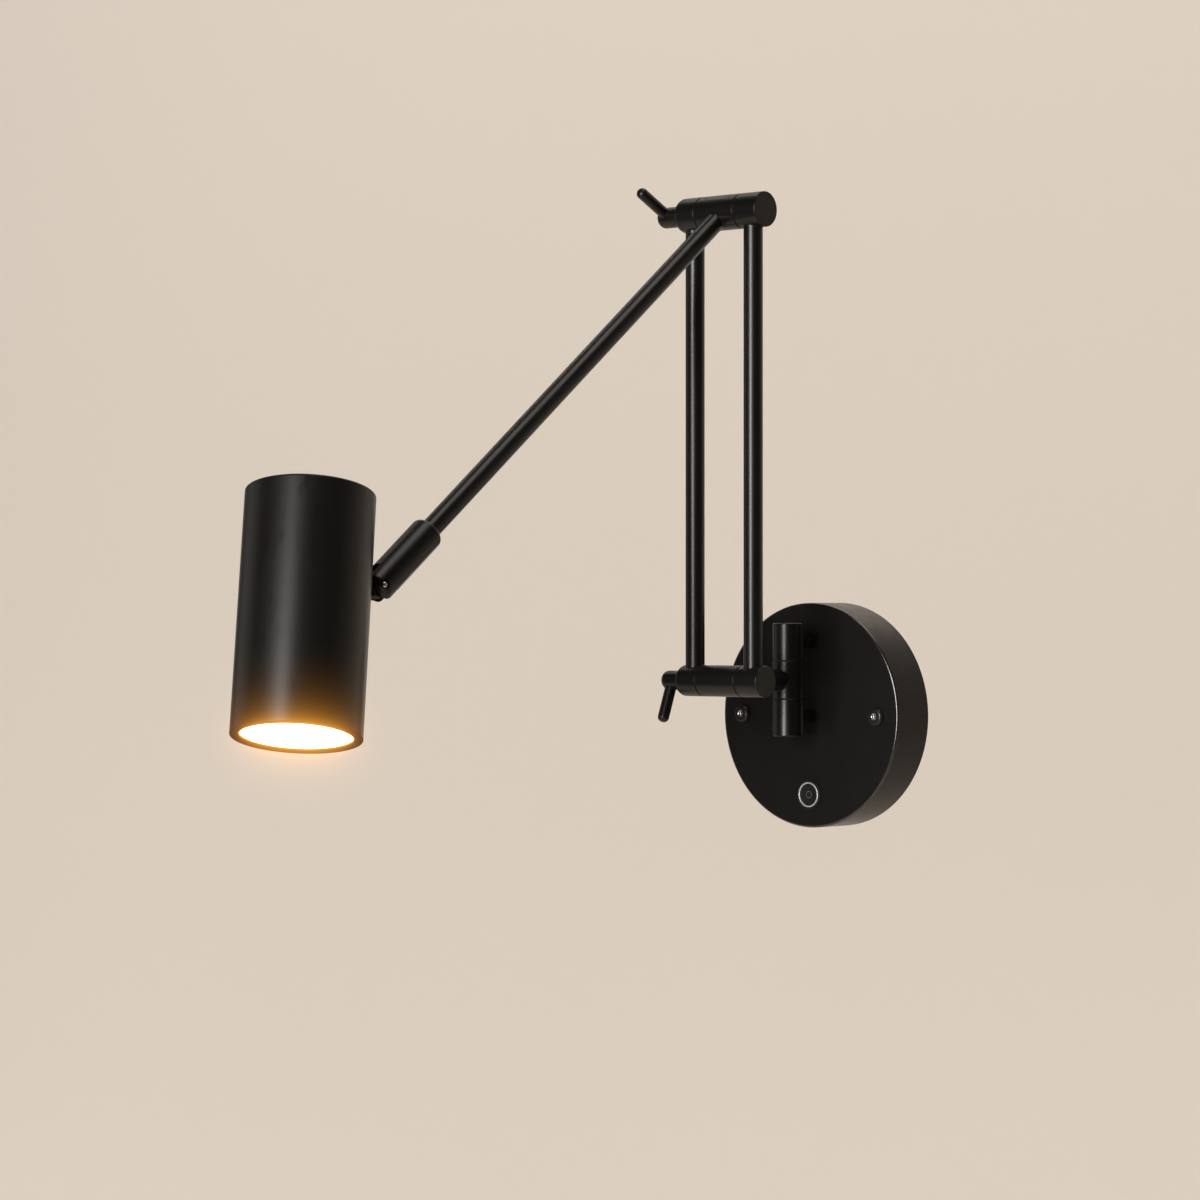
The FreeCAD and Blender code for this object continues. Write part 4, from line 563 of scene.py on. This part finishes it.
button_place = on_canopy(0, BUTTON_LEVEL)
housing = turned("button_housing", button_place, [
    (HOUSING_BORE, -HOUSING_DEPTH), (HOUSING_RADIUS, -HOUSING_DEPTH, HOUSING_ROUND),
    (HOUSING_RADIUS, 0), (FLANGE_RADIUS, 0, FLANGE_BACK_ROUND),
    (FLANGE_RADIUS, FLANGE_THICK, HOUSING_ROUND), (SEAT_RADIUS, FLANGE_THICK, FLANGE_INNER_ROUND),
    (SEAT_RADIUS, SEAT_LEVEL), (HOUSING_BORE, SEAT_LEVEL)], black_plastic)
fit(housing, "button_housing", "canopy")
dress(oxide, "button_nut")

nickel = Finish("bright nickel", {"Metallic": 0.6})
hairlines = nickel.noise(0.0008, detail=3)
nickel.feed(
    Base_Color=nickel.blend(hairlines, (0.74, 0.74, 0.74), (0.64, 0.64, 0.64)),
    Roughness=0.30 + hairlines * 0.08)
nickel.relief(hairlines, 0.000001)
ring = turned("button_ring", button_place, [
    (RING_BORE, SEAT_LEVEL), (RING_RADIUS, SEAT_LEVEL), (RING_RADIUS, RING_TOP, RING_ROUND),
    (RING_BORE, RING_TOP, RING_ROUND)], nickel)
fit(ring, "button_ring", "canopy")

grey_plastic = Finish("moulded grey plastic", {"Specular IOR Level": 0.45})
dimple = grey_plastic.noise(0.0005)
grey_plastic.feed(
    Base_Color=grey_plastic.blend(dimple, (0.095, 0.093, 0.090), (0.065, 0.063, 0.061)),
    Roughness=0.38 + dimple * 0.14)
grey_plastic.relief(dimple, 0.00001)

cap = turned("button_cap", button_place, [
    (0, CAP_MIDDLE), (MARK_INNER - MARK_SLOPE, CAP_MIDDLE + 0.01, MARK_ROUND),
    (MARK_INNER, MARK_LEVEL, MARK_ROUND), (MARK_OUTER, MARK_LEVEL, MARK_ROUND),
    (MARK_OUTER + MARK_SLOPE, CAP_MIDDLE + 0.03, MARK_ROUND), DISH_BEND,
    (DISH_RADIUS, CAP_TOP, DISH_ROUND), (CAP_RADIUS, CAP_TOP, CAP_ROUND),
    (CAP_RADIUS, -CAP_SKIRT, CAP_SKIRT_ROUND), (STEM_RADIUS, -CAP_SKIRT),
    (STEM_RADIUS, -STEM_LENGTH, STEM_ROUND), (0, -STEM_LENGTH)], black_plastic)
recoat(cap, button_place, grey_plastic, lambda out, up: (
    up > 0 and MARK_INNER - MARK_ROUND < out < MARK_OUTER + MARK_ROUND))
fit(cap, "button_cap", "button")


# The swivel hinge. Three knuckles turned from bar turn on one pin, with thin
# washers in the gaps, and two posts through the canopy's face carry the outer two.

joint = {row["name"]: row for row in frame["joints"]}


def pivot(name):
    """Where a joint's axis is, in metres."""
    return Vector(joint[name]["pos_m"])


SATIN_BLACK = (0.0034, 0.0031, 0.0027)
HINGE = pivot("arm_swivel")
HINGE_RADIUS = 8.1
HINGE_END = 30
HINGE_END_ROUND = 0.7
MIDDLE_KNUCKLE_END = 9.8
OUTER_KNUCKLE_START = 10.4
JOINT_ROUND = 0.3
PIN_BORE = 3.05
PIN_TOP = 23.4
PIN_HEAD_LEVEL = -25.2
PIN_WELL_RADIUS = 5.25
PIN_WELL_ROUND = 0.2
POST_RADIUS = 4
POST_START = 6.8
POST_FOOT = 17.6
POST_FOOT_ROUND = 0.35
SPIGOT_RADIUS = 2.5
SPIGOT_START = 4.6
THREAD_RADIUS = 3
THREAD_END = 27.7
THREAD_CHAMFER = 0.8

black_metal = coat("satin black anodised aluminium", SATIN_BLACK, 0.27, peel=0.010)

washer_plastic = Finish("washer plastic", {"Specular IOR Level": 0.4})
wiped = washer_plastic.noise(0.002, detail=3)
washer_plastic.feed(
    Base_Color=washer_plastic.blend(wiped, (0.010, 0.010, 0.010), (0.018, 0.017, 0.016)),
    Roughness=0.46 + wiped * 0.14)
washer_plastic.relief(wiped, 0.00001)
dress(washer_plastic, "hinge_washers")
dress(oxide, "hinge_pin")


def black_turned(node, body, place, corners, **fineness):
    """A turned piece of black aluminium that stands for a node and moves with a body."""
    fit(turned(node, place, corners, black_metal, **fineness), node, body)


def seam(name, body, branch, branch_radius, trunk, trunk_radius, side=1, thick=0.22, around=96, sides=8):
    """The thin rolled line where a round branch goes into a round trunk, on one side of the trunk."""
    way, across = branch.col[2].to_3d(), trunk.col[2].to_3d()
    over = way.cross(across).normalized()
    line = across.cross(over).normalized() * side
    centre = branch.translation
    gap = trunk.translation - centre
    centre = centre + line * gap.dot(line)
    verts = []
    for i in range(around):
        turn = 2 * math.pi * i / around
        spoke = over * math.cos(turn) + line.cross(over) * math.sin(turn)
        aside = (centre - trunk.translation).dot(over) / MM + branch_radius * math.cos(turn)
        height = math.sqrt(max(trunk_radius ** 2 - aside ** 2, 0))
        middle = centre / MM + spoke * branch_radius + line * height
        for k in range(sides):
            tilt = 2 * math.pi * k / sides
            verts.append(middle + (spoke * math.cos(tilt) + line * math.sin(tilt)) * thick)
    faces = []
    for i in range(around):
        here, there = i * sides, (i + 1) % around * sides
        for k in range(sides):
            m = (k + 1) % sides
            faces.append((here + k, there + k, there + m, here + m))
    piece = smoothed(built(name, Matrix.Identity(4), verts, faces, black_metal))
    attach(piece, body)


hinge_place = standing(HINGE, (0, 0, 1))
black_turned("hinge_knuckle_upper", "canopy", hinge_place, [
    (0, HINGE_END), (HINGE_RADIUS, HINGE_END, HINGE_END_ROUND),
    (HINGE_RADIUS, OUTER_KNUCKLE_START, JOINT_ROUND), (PIN_BORE, OUTER_KNUCKLE_START),
    (PIN_BORE, PIN_TOP), (0, PIN_TOP)])
black_turned("hinge_knuckle_middle", "swivel_arm", hinge_place, [
    (PIN_BORE, -MIDDLE_KNUCKLE_END), (HINGE_RADIUS, -MIDDLE_KNUCKLE_END, JOINT_ROUND),
    (HINGE_RADIUS, MIDDLE_KNUCKLE_END, JOINT_ROUND), (PIN_BORE, MIDDLE_KNUCKLE_END)])
black_turned("hinge_knuckle_lower", "canopy", hinge_place, [
    (PIN_WELL_RADIUS, -HINGE_END, PIN_WELL_ROUND), (HINGE_RADIUS, -HINGE_END, HINGE_END_ROUND),
    (HINGE_RADIUS, -OUTER_KNUCKLE_START, JOINT_ROUND), (PIN_BORE, -OUTER_KNUCKLE_START),
    (PIN_BORE, PIN_HEAD_LEVEL), (PIN_WELL_RADIUS, PIN_HEAD_LEVEL)])

for side, level in zip(("upper", "lower"), POST_LEVELS):
    post_place = standing(Vector((0, HINGE.y, level * MM)), (0, 1, 0))
    black_turned("hinge_post_" + side, "canopy", post_place, [
        (0, SPIGOT_START), (SPIGOT_RADIUS, SPIGOT_START), (SPIGOT_RADIUS, POST_START),
        (POST_RADIUS, POST_START), (POST_RADIUS, POST_FOOT, POST_FOOT_ROUND),
        (THREAD_RADIUS, POST_FOOT), (THREAD_RADIUS, THREAD_END - THREAD_CHAMFER),
        (THREAD_RADIUS - THREAD_CHAMFER, THREAD_END), (0, THREAD_END)])
    seam("hinge_post_seam_" + side, "canopy", post_place, POST_RADIUS, hinge_place, HINGE_RADIUS)


# The friction barrels. Each is three turned drums in line on a clamp bolt: the
# middle one carries the arm that tilts, and the outer two are held by the rods.
# A stub of tube joins the lower barrel to the hinge.

BARREL = {"lower": pivot("lower_arm_tilt"), "upper": pivot("upper_arm_tilt")}
BARREL_RADIUS = {"lower": 8.2, "upper": 9.2}
BOSS_RADIUS = {"lower": 5.1, "upper": 5.5}
MIDDLE_BODY = {"lower": "swivel_arm", "upper": "upper_arm"}
BARREL_END = 28.4
BARREL_END_ROUND = 0.5
BARREL_JOINT = 13.5
MIDDLE_END = 12.9
BOLT_WELL = 23
SHOULDER_LAND = 0.03
STUB_RADIUS = 5.75
STUB_BORE = 3.75
STUB_START = 5.4
STUB_END = 46.6

barrel_place = {}
for level, radius in BARREL_RADIUS.items():
    place = standing(BARREL[level], (1, 0, 0), (0, 0, 1))
    barrel_place[level] = place
    shoulder = radius - BOSS_RADIUS[level] - SHOULDER_LAND
    black_turned(level + "_barrel_left", "lower_arm", place, [
        (PIN_BORE, -BARREL_JOINT), (radius, -BARREL_JOINT, JOINT_ROUND),
        (radius, -BARREL_END, shoulder), (PIN_BORE, -BARREL_END)], steps=10)
    black_turned(level + "_barrel_middle", MIDDLE_BODY[level], place, [
        (PIN_BORE, -MIDDLE_END), (radius, -MIDDLE_END, JOINT_ROUND),
        (radius, MIDDLE_END, JOINT_ROUND), (PIN_BORE, MIDDLE_END)])
    black_turned(level + "_barrel_right", "lower_arm", place, [
        (0, BARREL_END), (radius, BARREL_END, BARREL_END_ROUND), (radius, BARREL_JOINT, JOINT_ROUND),
        (PIN_BORE, BARREL_JOINT), (PIN_BORE, BOLT_WELL), (0, BOLT_WELL)])
    dress(washer_plastic, level + "_barrel_washers")
    dress(zinc, level + "_clamp_bolt")

stub_place = standing(HINGE, (0, -1, 0))
black_turned("swivel_stub", "swivel_arm", stub_place, [
    (STUB_BORE, STUB_START), (STUB_RADIUS, STUB_START), (STUB_RADIUS, STUB_END), (STUB_BORE, STUB_END)])
seam("stub_seam_hinge", "swivel_arm", stub_place, STUB_RADIUS, hinge_place, HINGE_RADIUS)
seam("stub_seam_barrel", "swivel_arm", stub_place, STUB_RADIUS, barrel_place["lower"],
     BARREL_RADIUS["lower"], side=-1)


# The clamp levers. A round boss screws onto the end of each clamp bolt, and a
# short lever with a rounded tip is pressed into its side to turn it by hand.

LEVER_ANGLE = {"lower": 159.5, "upper": 62.5}
LEVER_REACH = {"lower": 23.2, "upper": 26.6}
LEVER_RADIUS = 3
LEVER_ROOT = -3
LEVER_TIP_ROUND = 2.6
LEVER_INSET = 5.4
BOSS_LENGTH = {"lower": 12.7, "upper": 15.0}
BOSS_GAP = 0.05
BOSS_EDGE_ROUND = 0.15
BOSS_END_ROUND = 3.6

for level, length in BOSS_LENGTH.items():
    angle = math.radians(LEVER_ANGLE[level])
    way = Vector((0, -math.sin(angle), math.cos(angle)))
    radius, reach = BOSS_RADIUS[level], LEVER_REACH[level]
    end = BARREL[level] - Vector((BARREL_END * MM, 0, 0))
    boss_place = standing(end, (-1, 0, 0), way)
    black_turned(level + "_clamp_boss", level + "_clamp", boss_place, [
        (0, BOSS_GAP), (radius, BOSS_GAP, BOSS_EDGE_ROUND), (radius, length, BOSS_END_ROUND),
        (0, length)], steps=12)
    lever_place = standing(end - Vector(((length - LEVER_INSET) * MM, 0, 0)), way)
    black_turned(level + "_clamp_lever", level + "_clamp", lever_place, [
        (0, LEVER_ROOT), (LEVER_RADIUS, LEVER_ROOT), (LEVER_RADIUS, reach, LEVER_TIP_ROUND),
        (0, reach)], around=64, steps=12)
    seam(level + "_lever_seam", level + "_clamp", lever_place, LEVER_RADIUS, boss_place, radius, thick=0.18)


# The upright rods. Two lengths of round tube stand in milled seats in the outer
# drums, so that both barrels keep their distance and tilt as one frame.

ROD_OUT = 19.9
ROD_RADIUS = 5.0
ROD_BORE = 3.8
ROD_SEAT = 3

rod_top = (BARREL["upper"].z - BARREL["lower"].z) / MM - BARREL_RADIUS["upper"] + ROD_SEAT
rod_foot = BARREL_RADIUS["lower"] - ROD_SEAT
for side, sign in (("left", -1), ("right", 1)):
    rod_place = standing(BARREL["lower"] + Vector((sign * ROD_OUT * MM, 0, 0)), (0, 0, 1))
    black_turned("rod_" + side, "lower_arm", rod_place, [
        (ROD_BORE, rod_foot), (ROD_RADIUS, rod_foot), (ROD_RADIUS, rod_top), (ROD_BORE, rod_top)])
    for level, way in (("lower", 1), ("upper", -1)):
        seam("rod_%s_seam_%s" % (side, level), "lower_arm", rod_place, ROD_RADIUS,
             barrel_place[level], BARREL_RADIUS[level], side=way)


# The arm and its sleeve. A thick tube runs from the upper barrel, and a turned
# sleeve swivels on its end, held by a grub screw, with a fork milled in its nose.
# A steel pin with a domed head crosses the fork.

ARM_WAY = Vector(joint["head_swivel"]["axis"])
PIN_WAY = -Vector(joint["head_tilt"]["axis"])
TILT = pivot("head_tilt")
ARM_RADIUS = 5
ARM_BORE = 2.8
ARM_START = 6.2
ARM_END = 303.9
SLEEVE_RADIUS = 8.2
SLEEVE_BORE = 5.08
SLEEVE_START = -44
SLEEVE_FLOOR = -14
SLEEVE_BACK_ROUND = 2.5
FORK_REACH = 3.6
FORK_ROUND = 4.4
SLOT_HALF = 3.6
SLOT_FLOOR = -8
SLOT_CLEAR = 9
TILT_PIN_RADIUS = 1.3
TILT_PIN_END = -12.8
TILT_PIN_CHAMFER = 0.4
TILT_HEAD_RADIUS = 1.7
TILT_HEAD_RISE = 1.9
TILT_HEAD_DOME = 1.5
TILT_HEAD_SEAT = 6.3
WELL_CLEARANCE = 0.3
BORE_CLEARANCE = 0.05
BORE_REACH = 7
DRILL_REACH = 12
GRUB_BACK = 36
GRUB_RADIUS = 2
GRUB_HOLE_RADIUS = 2.04
GRUB_HOLE_FLOOR = 4
GRUB_TOP = 7.9
GRUB_TOP_ROUND = 0.1
GRUB_CHAMFER = 0.2
GRUB_SHOULDER = 5.25
GRUB_POINT_RADIUS = 1.5
GRUB_POINT_END = 4.2
GRUB_SOCKET_HALF = 1
GRUB_SOCKET_FLOOR = 6.4
GRUB_SOCKET_CONE = 0.2
GRUB_SOCKET_LEAD = 0.1
GRUB_SOCKET_FLARE = 0.15

arm_place = standing(BARREL["upper"], ARM_WAY)
black_turned("upper_arm_tube", "upper_arm", arm_place, [
    (ARM_BORE, ARM_START), (ARM_RADIUS, ARM_START), (ARM_RADIUS, ARM_END), (ARM_BORE, ARM_END)])
seam("arm_seam", "upper_arm", arm_place, ARM_RADIUS, barrel_place["upper"], BARREL_RADIUS["upper"])

sleeve_place = standing(TILT, ARM_WAY, PIN_WAY)
pin_place = standing(TILT, PIN_WAY)
grub_place = standing(TILT - ARM_WAY * GRUB_BACK * MM, -ARM_WAY.cross(PIN_WAY))
sleeve = turned("arm_sleeve", sleeve_place, [
    (SLEEVE_BORE, SLEEVE_START), (SLEEVE_RADIUS, SLEEVE_START, SLEEVE_BACK_ROUND),
    (SLEEVE_RADIUS, FORK_REACH, FORK_ROUND), (0, FORK_REACH), (0, SLEEVE_FLOOR),
    (SLEEVE_BORE, SLEEVE_FLOOR)], black_metal, steps=10)
slot_box = [(x, y, z) for x in (-SLOT_HALF, SLOT_HALF) for y in (-SLOT_CLEAR, SLOT_CLEAR)
            for z in (SLOT_FLOOR, SLOT_CLEAR)]
slot_faces = [(0, 1, 3, 2), (4, 5, 7, 6), (0, 1, 5, 4), (2, 3, 7, 6), (0, 2, 6, 4), (1, 3, 7, 5)]
well_radius = TILT_HEAD_RADIUS + WELL_CLEARANCE
bore_radius = TILT_PIN_RADIUS + BORE_CLEARANCE
cut(sleeve, [
    built("slot_saw", sleeve_place, slot_box, slot_faces, black_metal),
    drill("head_well", pin_place, well_radius, TILT_HEAD_SEAT, DRILL_REACH, black_metal),
    drill("pin_bore", pin_place, bore_radius, -BORE_REACH, BORE_REACH, black_metal),
    drill("grub_hole", grub_place, GRUB_HOLE_RADIUS, GRUB_HOLE_FLOOR, DRILL_REACH, black_metal)],
    break_width=0.3)
fit(sleeve, "arm_sleeve", "sleeve")
dress(washer_plastic, "tilt_washers")

grub = turned("sleeve_grub_screw", grub_place, [
    (0, GRUB_SOCKET_FLOOR - GRUB_SOCKET_CONE), (GRUB_SOCKET_HALF, GRUB_SOCKET_FLOOR, 0, HEXAGON),
    (GRUB_SOCKET_HALF, GRUB_TOP - GRUB_SOCKET_LEAD, 0, HEXAGON),
    (GRUB_SOCKET_HALF + GRUB_SOCKET_FLARE, GRUB_TOP),
    (GRUB_RADIUS - GRUB_CHAMFER, GRUB_TOP, GRUB_TOP_ROUND), (GRUB_RADIUS, GRUB_TOP - GRUB_CHAMFER),
    (GRUB_RADIUS, GRUB_SHOULDER), (GRUB_POINT_RADIUS, GRUB_SHOULDER),
    (GRUB_POINT_RADIUS, GRUB_POINT_END), (0, GRUB_POINT_END)], oxide)
fit(grub, "sleeve_grub_screw", "sleeve")

pin = turned("tilt_pin", standing(TILT + PIN_WAY * TILT_HEAD_SEAT * MM, PIN_WAY), [
    (0, TILT_HEAD_RISE), (TILT_HEAD_RADIUS, TILT_HEAD_RISE, TILT_HEAD_DOME), (TILT_HEAD_RADIUS, 0),
    (TILT_PIN_RADIUS, 0), (TILT_PIN_RADIUS, TILT_PIN_END + TILT_PIN_CHAMFER),
    (TILT_PIN_RADIUS - TILT_PIN_CHAMFER, TILT_PIN_END), (0, TILT_PIN_END)], rubbed, around=48, steps=12)
fit(pin, "tilt_pin", "sleeve")


# The tilt lug. A flat tongue turns in the fork and is coped to the round of the
# lamp head, where two screws from inside the head hold it.

LAMP_DOWN = (sum(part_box("diffuser"), Vector()) - sum(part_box("light_source"), Vector())).normalized()
LUG_HALF = 3.0
LUG_ROUND = 5.2
LUG_REACH = 8.9
LUG_FLARE = 0.6


def tongue(half_width, half_height, reach, flare, steps=24):
    """Outline with a round end over the pin, flared a little where it meets the head."""
    line = [(-reach, -half_height - flare), (-reach + flare, -half_height)]
    for step in range(steps + 1):
        turn = math.pi * step / steps - math.pi / 2
        line.append((half_height * math.cos(turn), half_height * math.sin(turn)))
    line += [(-reach + flare, half_height), (-reach, half_height + flare)]
    verts = [(x, y, z) for x in (-half_width, half_width) for y, z in line]
    count = len(line)
    faces = [tuple(range(count)), tuple(range(count, 2 * count))]
    faces += [(i, (i + 1) % count, (i + 1) % count + count, i + count) for i in range(count)]
    return verts, faces


matt_black = coat("matt black", (0.0050, 0.0037, 0.0025), 0.50, peel=0.010, gloss=0.12)
lug_place = standing(TILT, -LAMP_DOWN, PIN_WAY)
lug = smoothed(built("tilt_lug", lug_place, *tongue(LUG_HALF, LUG_ROUND, LUG_REACH, LUG_FLARE), matt_black))
through = LUG_HALF + 1
cut(lug, [drill("lug_bore", pin_place, bore_radius, -through, through, black_metal)], break_width=0.4)
fit(lug, "tilt_lug", "head")
dress(zinc, "lug_screws")


# The lamp head. A drawn aluminium can, closed at the top and open below, coated
# satin black like the arm, with a narrow lip left matt round its mouth.

HEAD_OFFSET = 39.2
HEAD_RADIUS = 30.75
HEAD_BORE = 28.75
HEAD_TOP = 37.8
HEAD_TOP_THICK = 3
HEAD_TOP_ROUND = 1.1
MOUTH = -79.9
LIP_ROUND = 0.45
LIP_INNER_ROUND = 0.3
LIP_HEIGHT = 0.35

head_coat = coat("satin black coat on the head", SATIN_BLACK, 0.29, peel=0.010)

head_place = lug_place.copy()
head_place.translation = TILT - lug_place.col[1].to_3d() * HEAD_OFFSET * MM
shell = turned("head_shell", head_place, [
    (0, HEAD_TOP), (HEAD_RADIUS, HEAD_TOP, HEAD_TOP_ROUND), (HEAD_RADIUS, MOUTH, LIP_ROUND),
    (HEAD_BORE, MOUTH, LIP_INNER_ROUND), (HEAD_BORE, HEAD_TOP - HEAD_TOP_THICK),
    (0, HEAD_TOP - HEAD_TOP_THICK)], head_coat, around=192, steps=8)
recoat(shell, head_place, matt_black, lambda out, up: up < MOUTH + LIP_HEIGHT)
fit(shell, "head_shell", "head")


# The mouth. A matt black trim ring holds an opal diffuser against the reflector,
# and the diffuser glows almost white with a warm edge.

TRIM_RADIUS = 28.72
TRIM_OPENING = 26.42
TRIM_SEAT_RADIUS = 27.42
TRIM_HEIGHT = 6
TRIM_LIP = 1.4
TRIM_OPENING_ROUND = 0.4
TRIM_OUTER_ROUND = 0.15
DIFFUSER_RADIUS = 27.39
DIFFUSER_THICK = 2.2
DIFFUSER_RIM = 25.9
DIFFUSER_RIM_ROUND = 0.3
DIFFUSER_DOME = 0.2
DOME_BEND = 15
DOME_BEND_RISE = 0.12
DOME_BEND_ROUND = 4
WARM_START = 19
WARM_END = 27.4

seat = MOUTH + TRIM_LIP
trim = turned("trim_ring", head_place, [
    (TRIM_OPENING, MOUTH, TRIM_OPENING_ROUND), (TRIM_RADIUS, MOUTH, TRIM_OUTER_ROUND),
    (TRIM_RADIUS, MOUTH + TRIM_HEIGHT), (TRIM_SEAT_RADIUS, MOUTH + TRIM_HEIGHT),
    (TRIM_SEAT_RADIUS, seat), (TRIM_OPENING, seat)], matt_black, around=192)
fit(trim, "trim_ring", "head")

opal = Finish("lit opal plastic", {"Roughness": 0.4, "Emission Strength": 7.0})
milky = opal.noise(0.006, detail=3)
middle = head_place @ Vector((0, 0, seat * MM))
spread = opal.node("ShaderNodeVectorMath", {"operation": "DISTANCE"}, {0: opal.place, 1: middle})["Value"]
warmth = opal.step(spread, WARM_START * MM, WARM_END * MM)
opal.feed(
    Base_Color=opal.blend(milky, (0.92, 0.90, 0.86), (0.84, 0.81, 0.75)),
    Emission_Color=opal.blend(warmth, (1.0, 0.86, 0.62), (1.0, 0.48, 0.12)))
diffuser = turned("diffuser", head_place, [
    (0, seat - DIFFUSER_DOME), (DOME_BEND, seat - DOME_BEND_RISE, DOME_BEND_ROUND),
    (DIFFUSER_RIM, seat, DIFFUSER_RIM_ROUND), (DIFFUSER_RADIUS, seat),
    (DIFFUSER_RADIUS, seat + DIFFUSER_THICK), (0, seat + DIFFUSER_THICK)], opal, around=192)
fit(diffuser, "diffuser", "head")

# The lens spreads a warm halo round the lit mouth, as in any photograph of a lamp that is on.
bpy.context.scene.use_nodes = True
lens = bpy.context.scene.node_tree
halo = lens.nodes.new("CompositorNodeGlare")
halo.glare_type = "BLOOM"
halo.inputs["Threshold"].default_value = 1.5
halo.inputs["Strength"].default_value = 0.55
halo.inputs["Size"].default_value = 0.06
halo.inputs["Tint"].default_value = (1.0, 0.49, 0.08, 1)
lens.links.new(lens.nodes["Render Layers"].outputs["Image"], halo.inputs["Image"])
lens.links.new(halo.outputs["Image"], lens.nodes["Composite"].inputs["Image"])


# Inside the head. A phosphor disc on its board shines down the spun reflector,
# and a finned aluminium sink carries the heat to the can.

bare = Finish("bare aluminium", {"Metallic": 1.0})
mill = bare.noise(0.0006, 3, bare.stretched(1, 1, 0.1))
cast = bare.noise(0.01, detail=3)
bare.feed(
    Base_Color=bare.blend(cast, (0.80, 0.81, 0.82), (0.68, 0.69, 0.71)),
    Roughness=0.26 + mill * 0.16 + cast * 0.06)
bare.relief(mill, 0.00001)
dress(bare, "reflector", "heat_sink")
dress(white_plastic, "light_board")
dress(zinc, "board_screws")

phosphor = Finish("phosphor", {"Roughness": 0.55, "Emission Strength": 2.0})
dots = phosphor.noise(0.0012, detail=3)
phosphor.feed(
    Base_Color=phosphor.blend(dots, (0.85, 0.70, 0.22), (0.72, 0.52, 0.12)),
    Emission_Color=phosphor.blend(dots, (1.0, 0.80, 0.45), (1.0, 0.70, 0.30)))
phosphor.relief(dots, 0.00004)
dress(phosphor, "light_source")


# The scene is brought up to date.

bpy.context.view_layer.update()
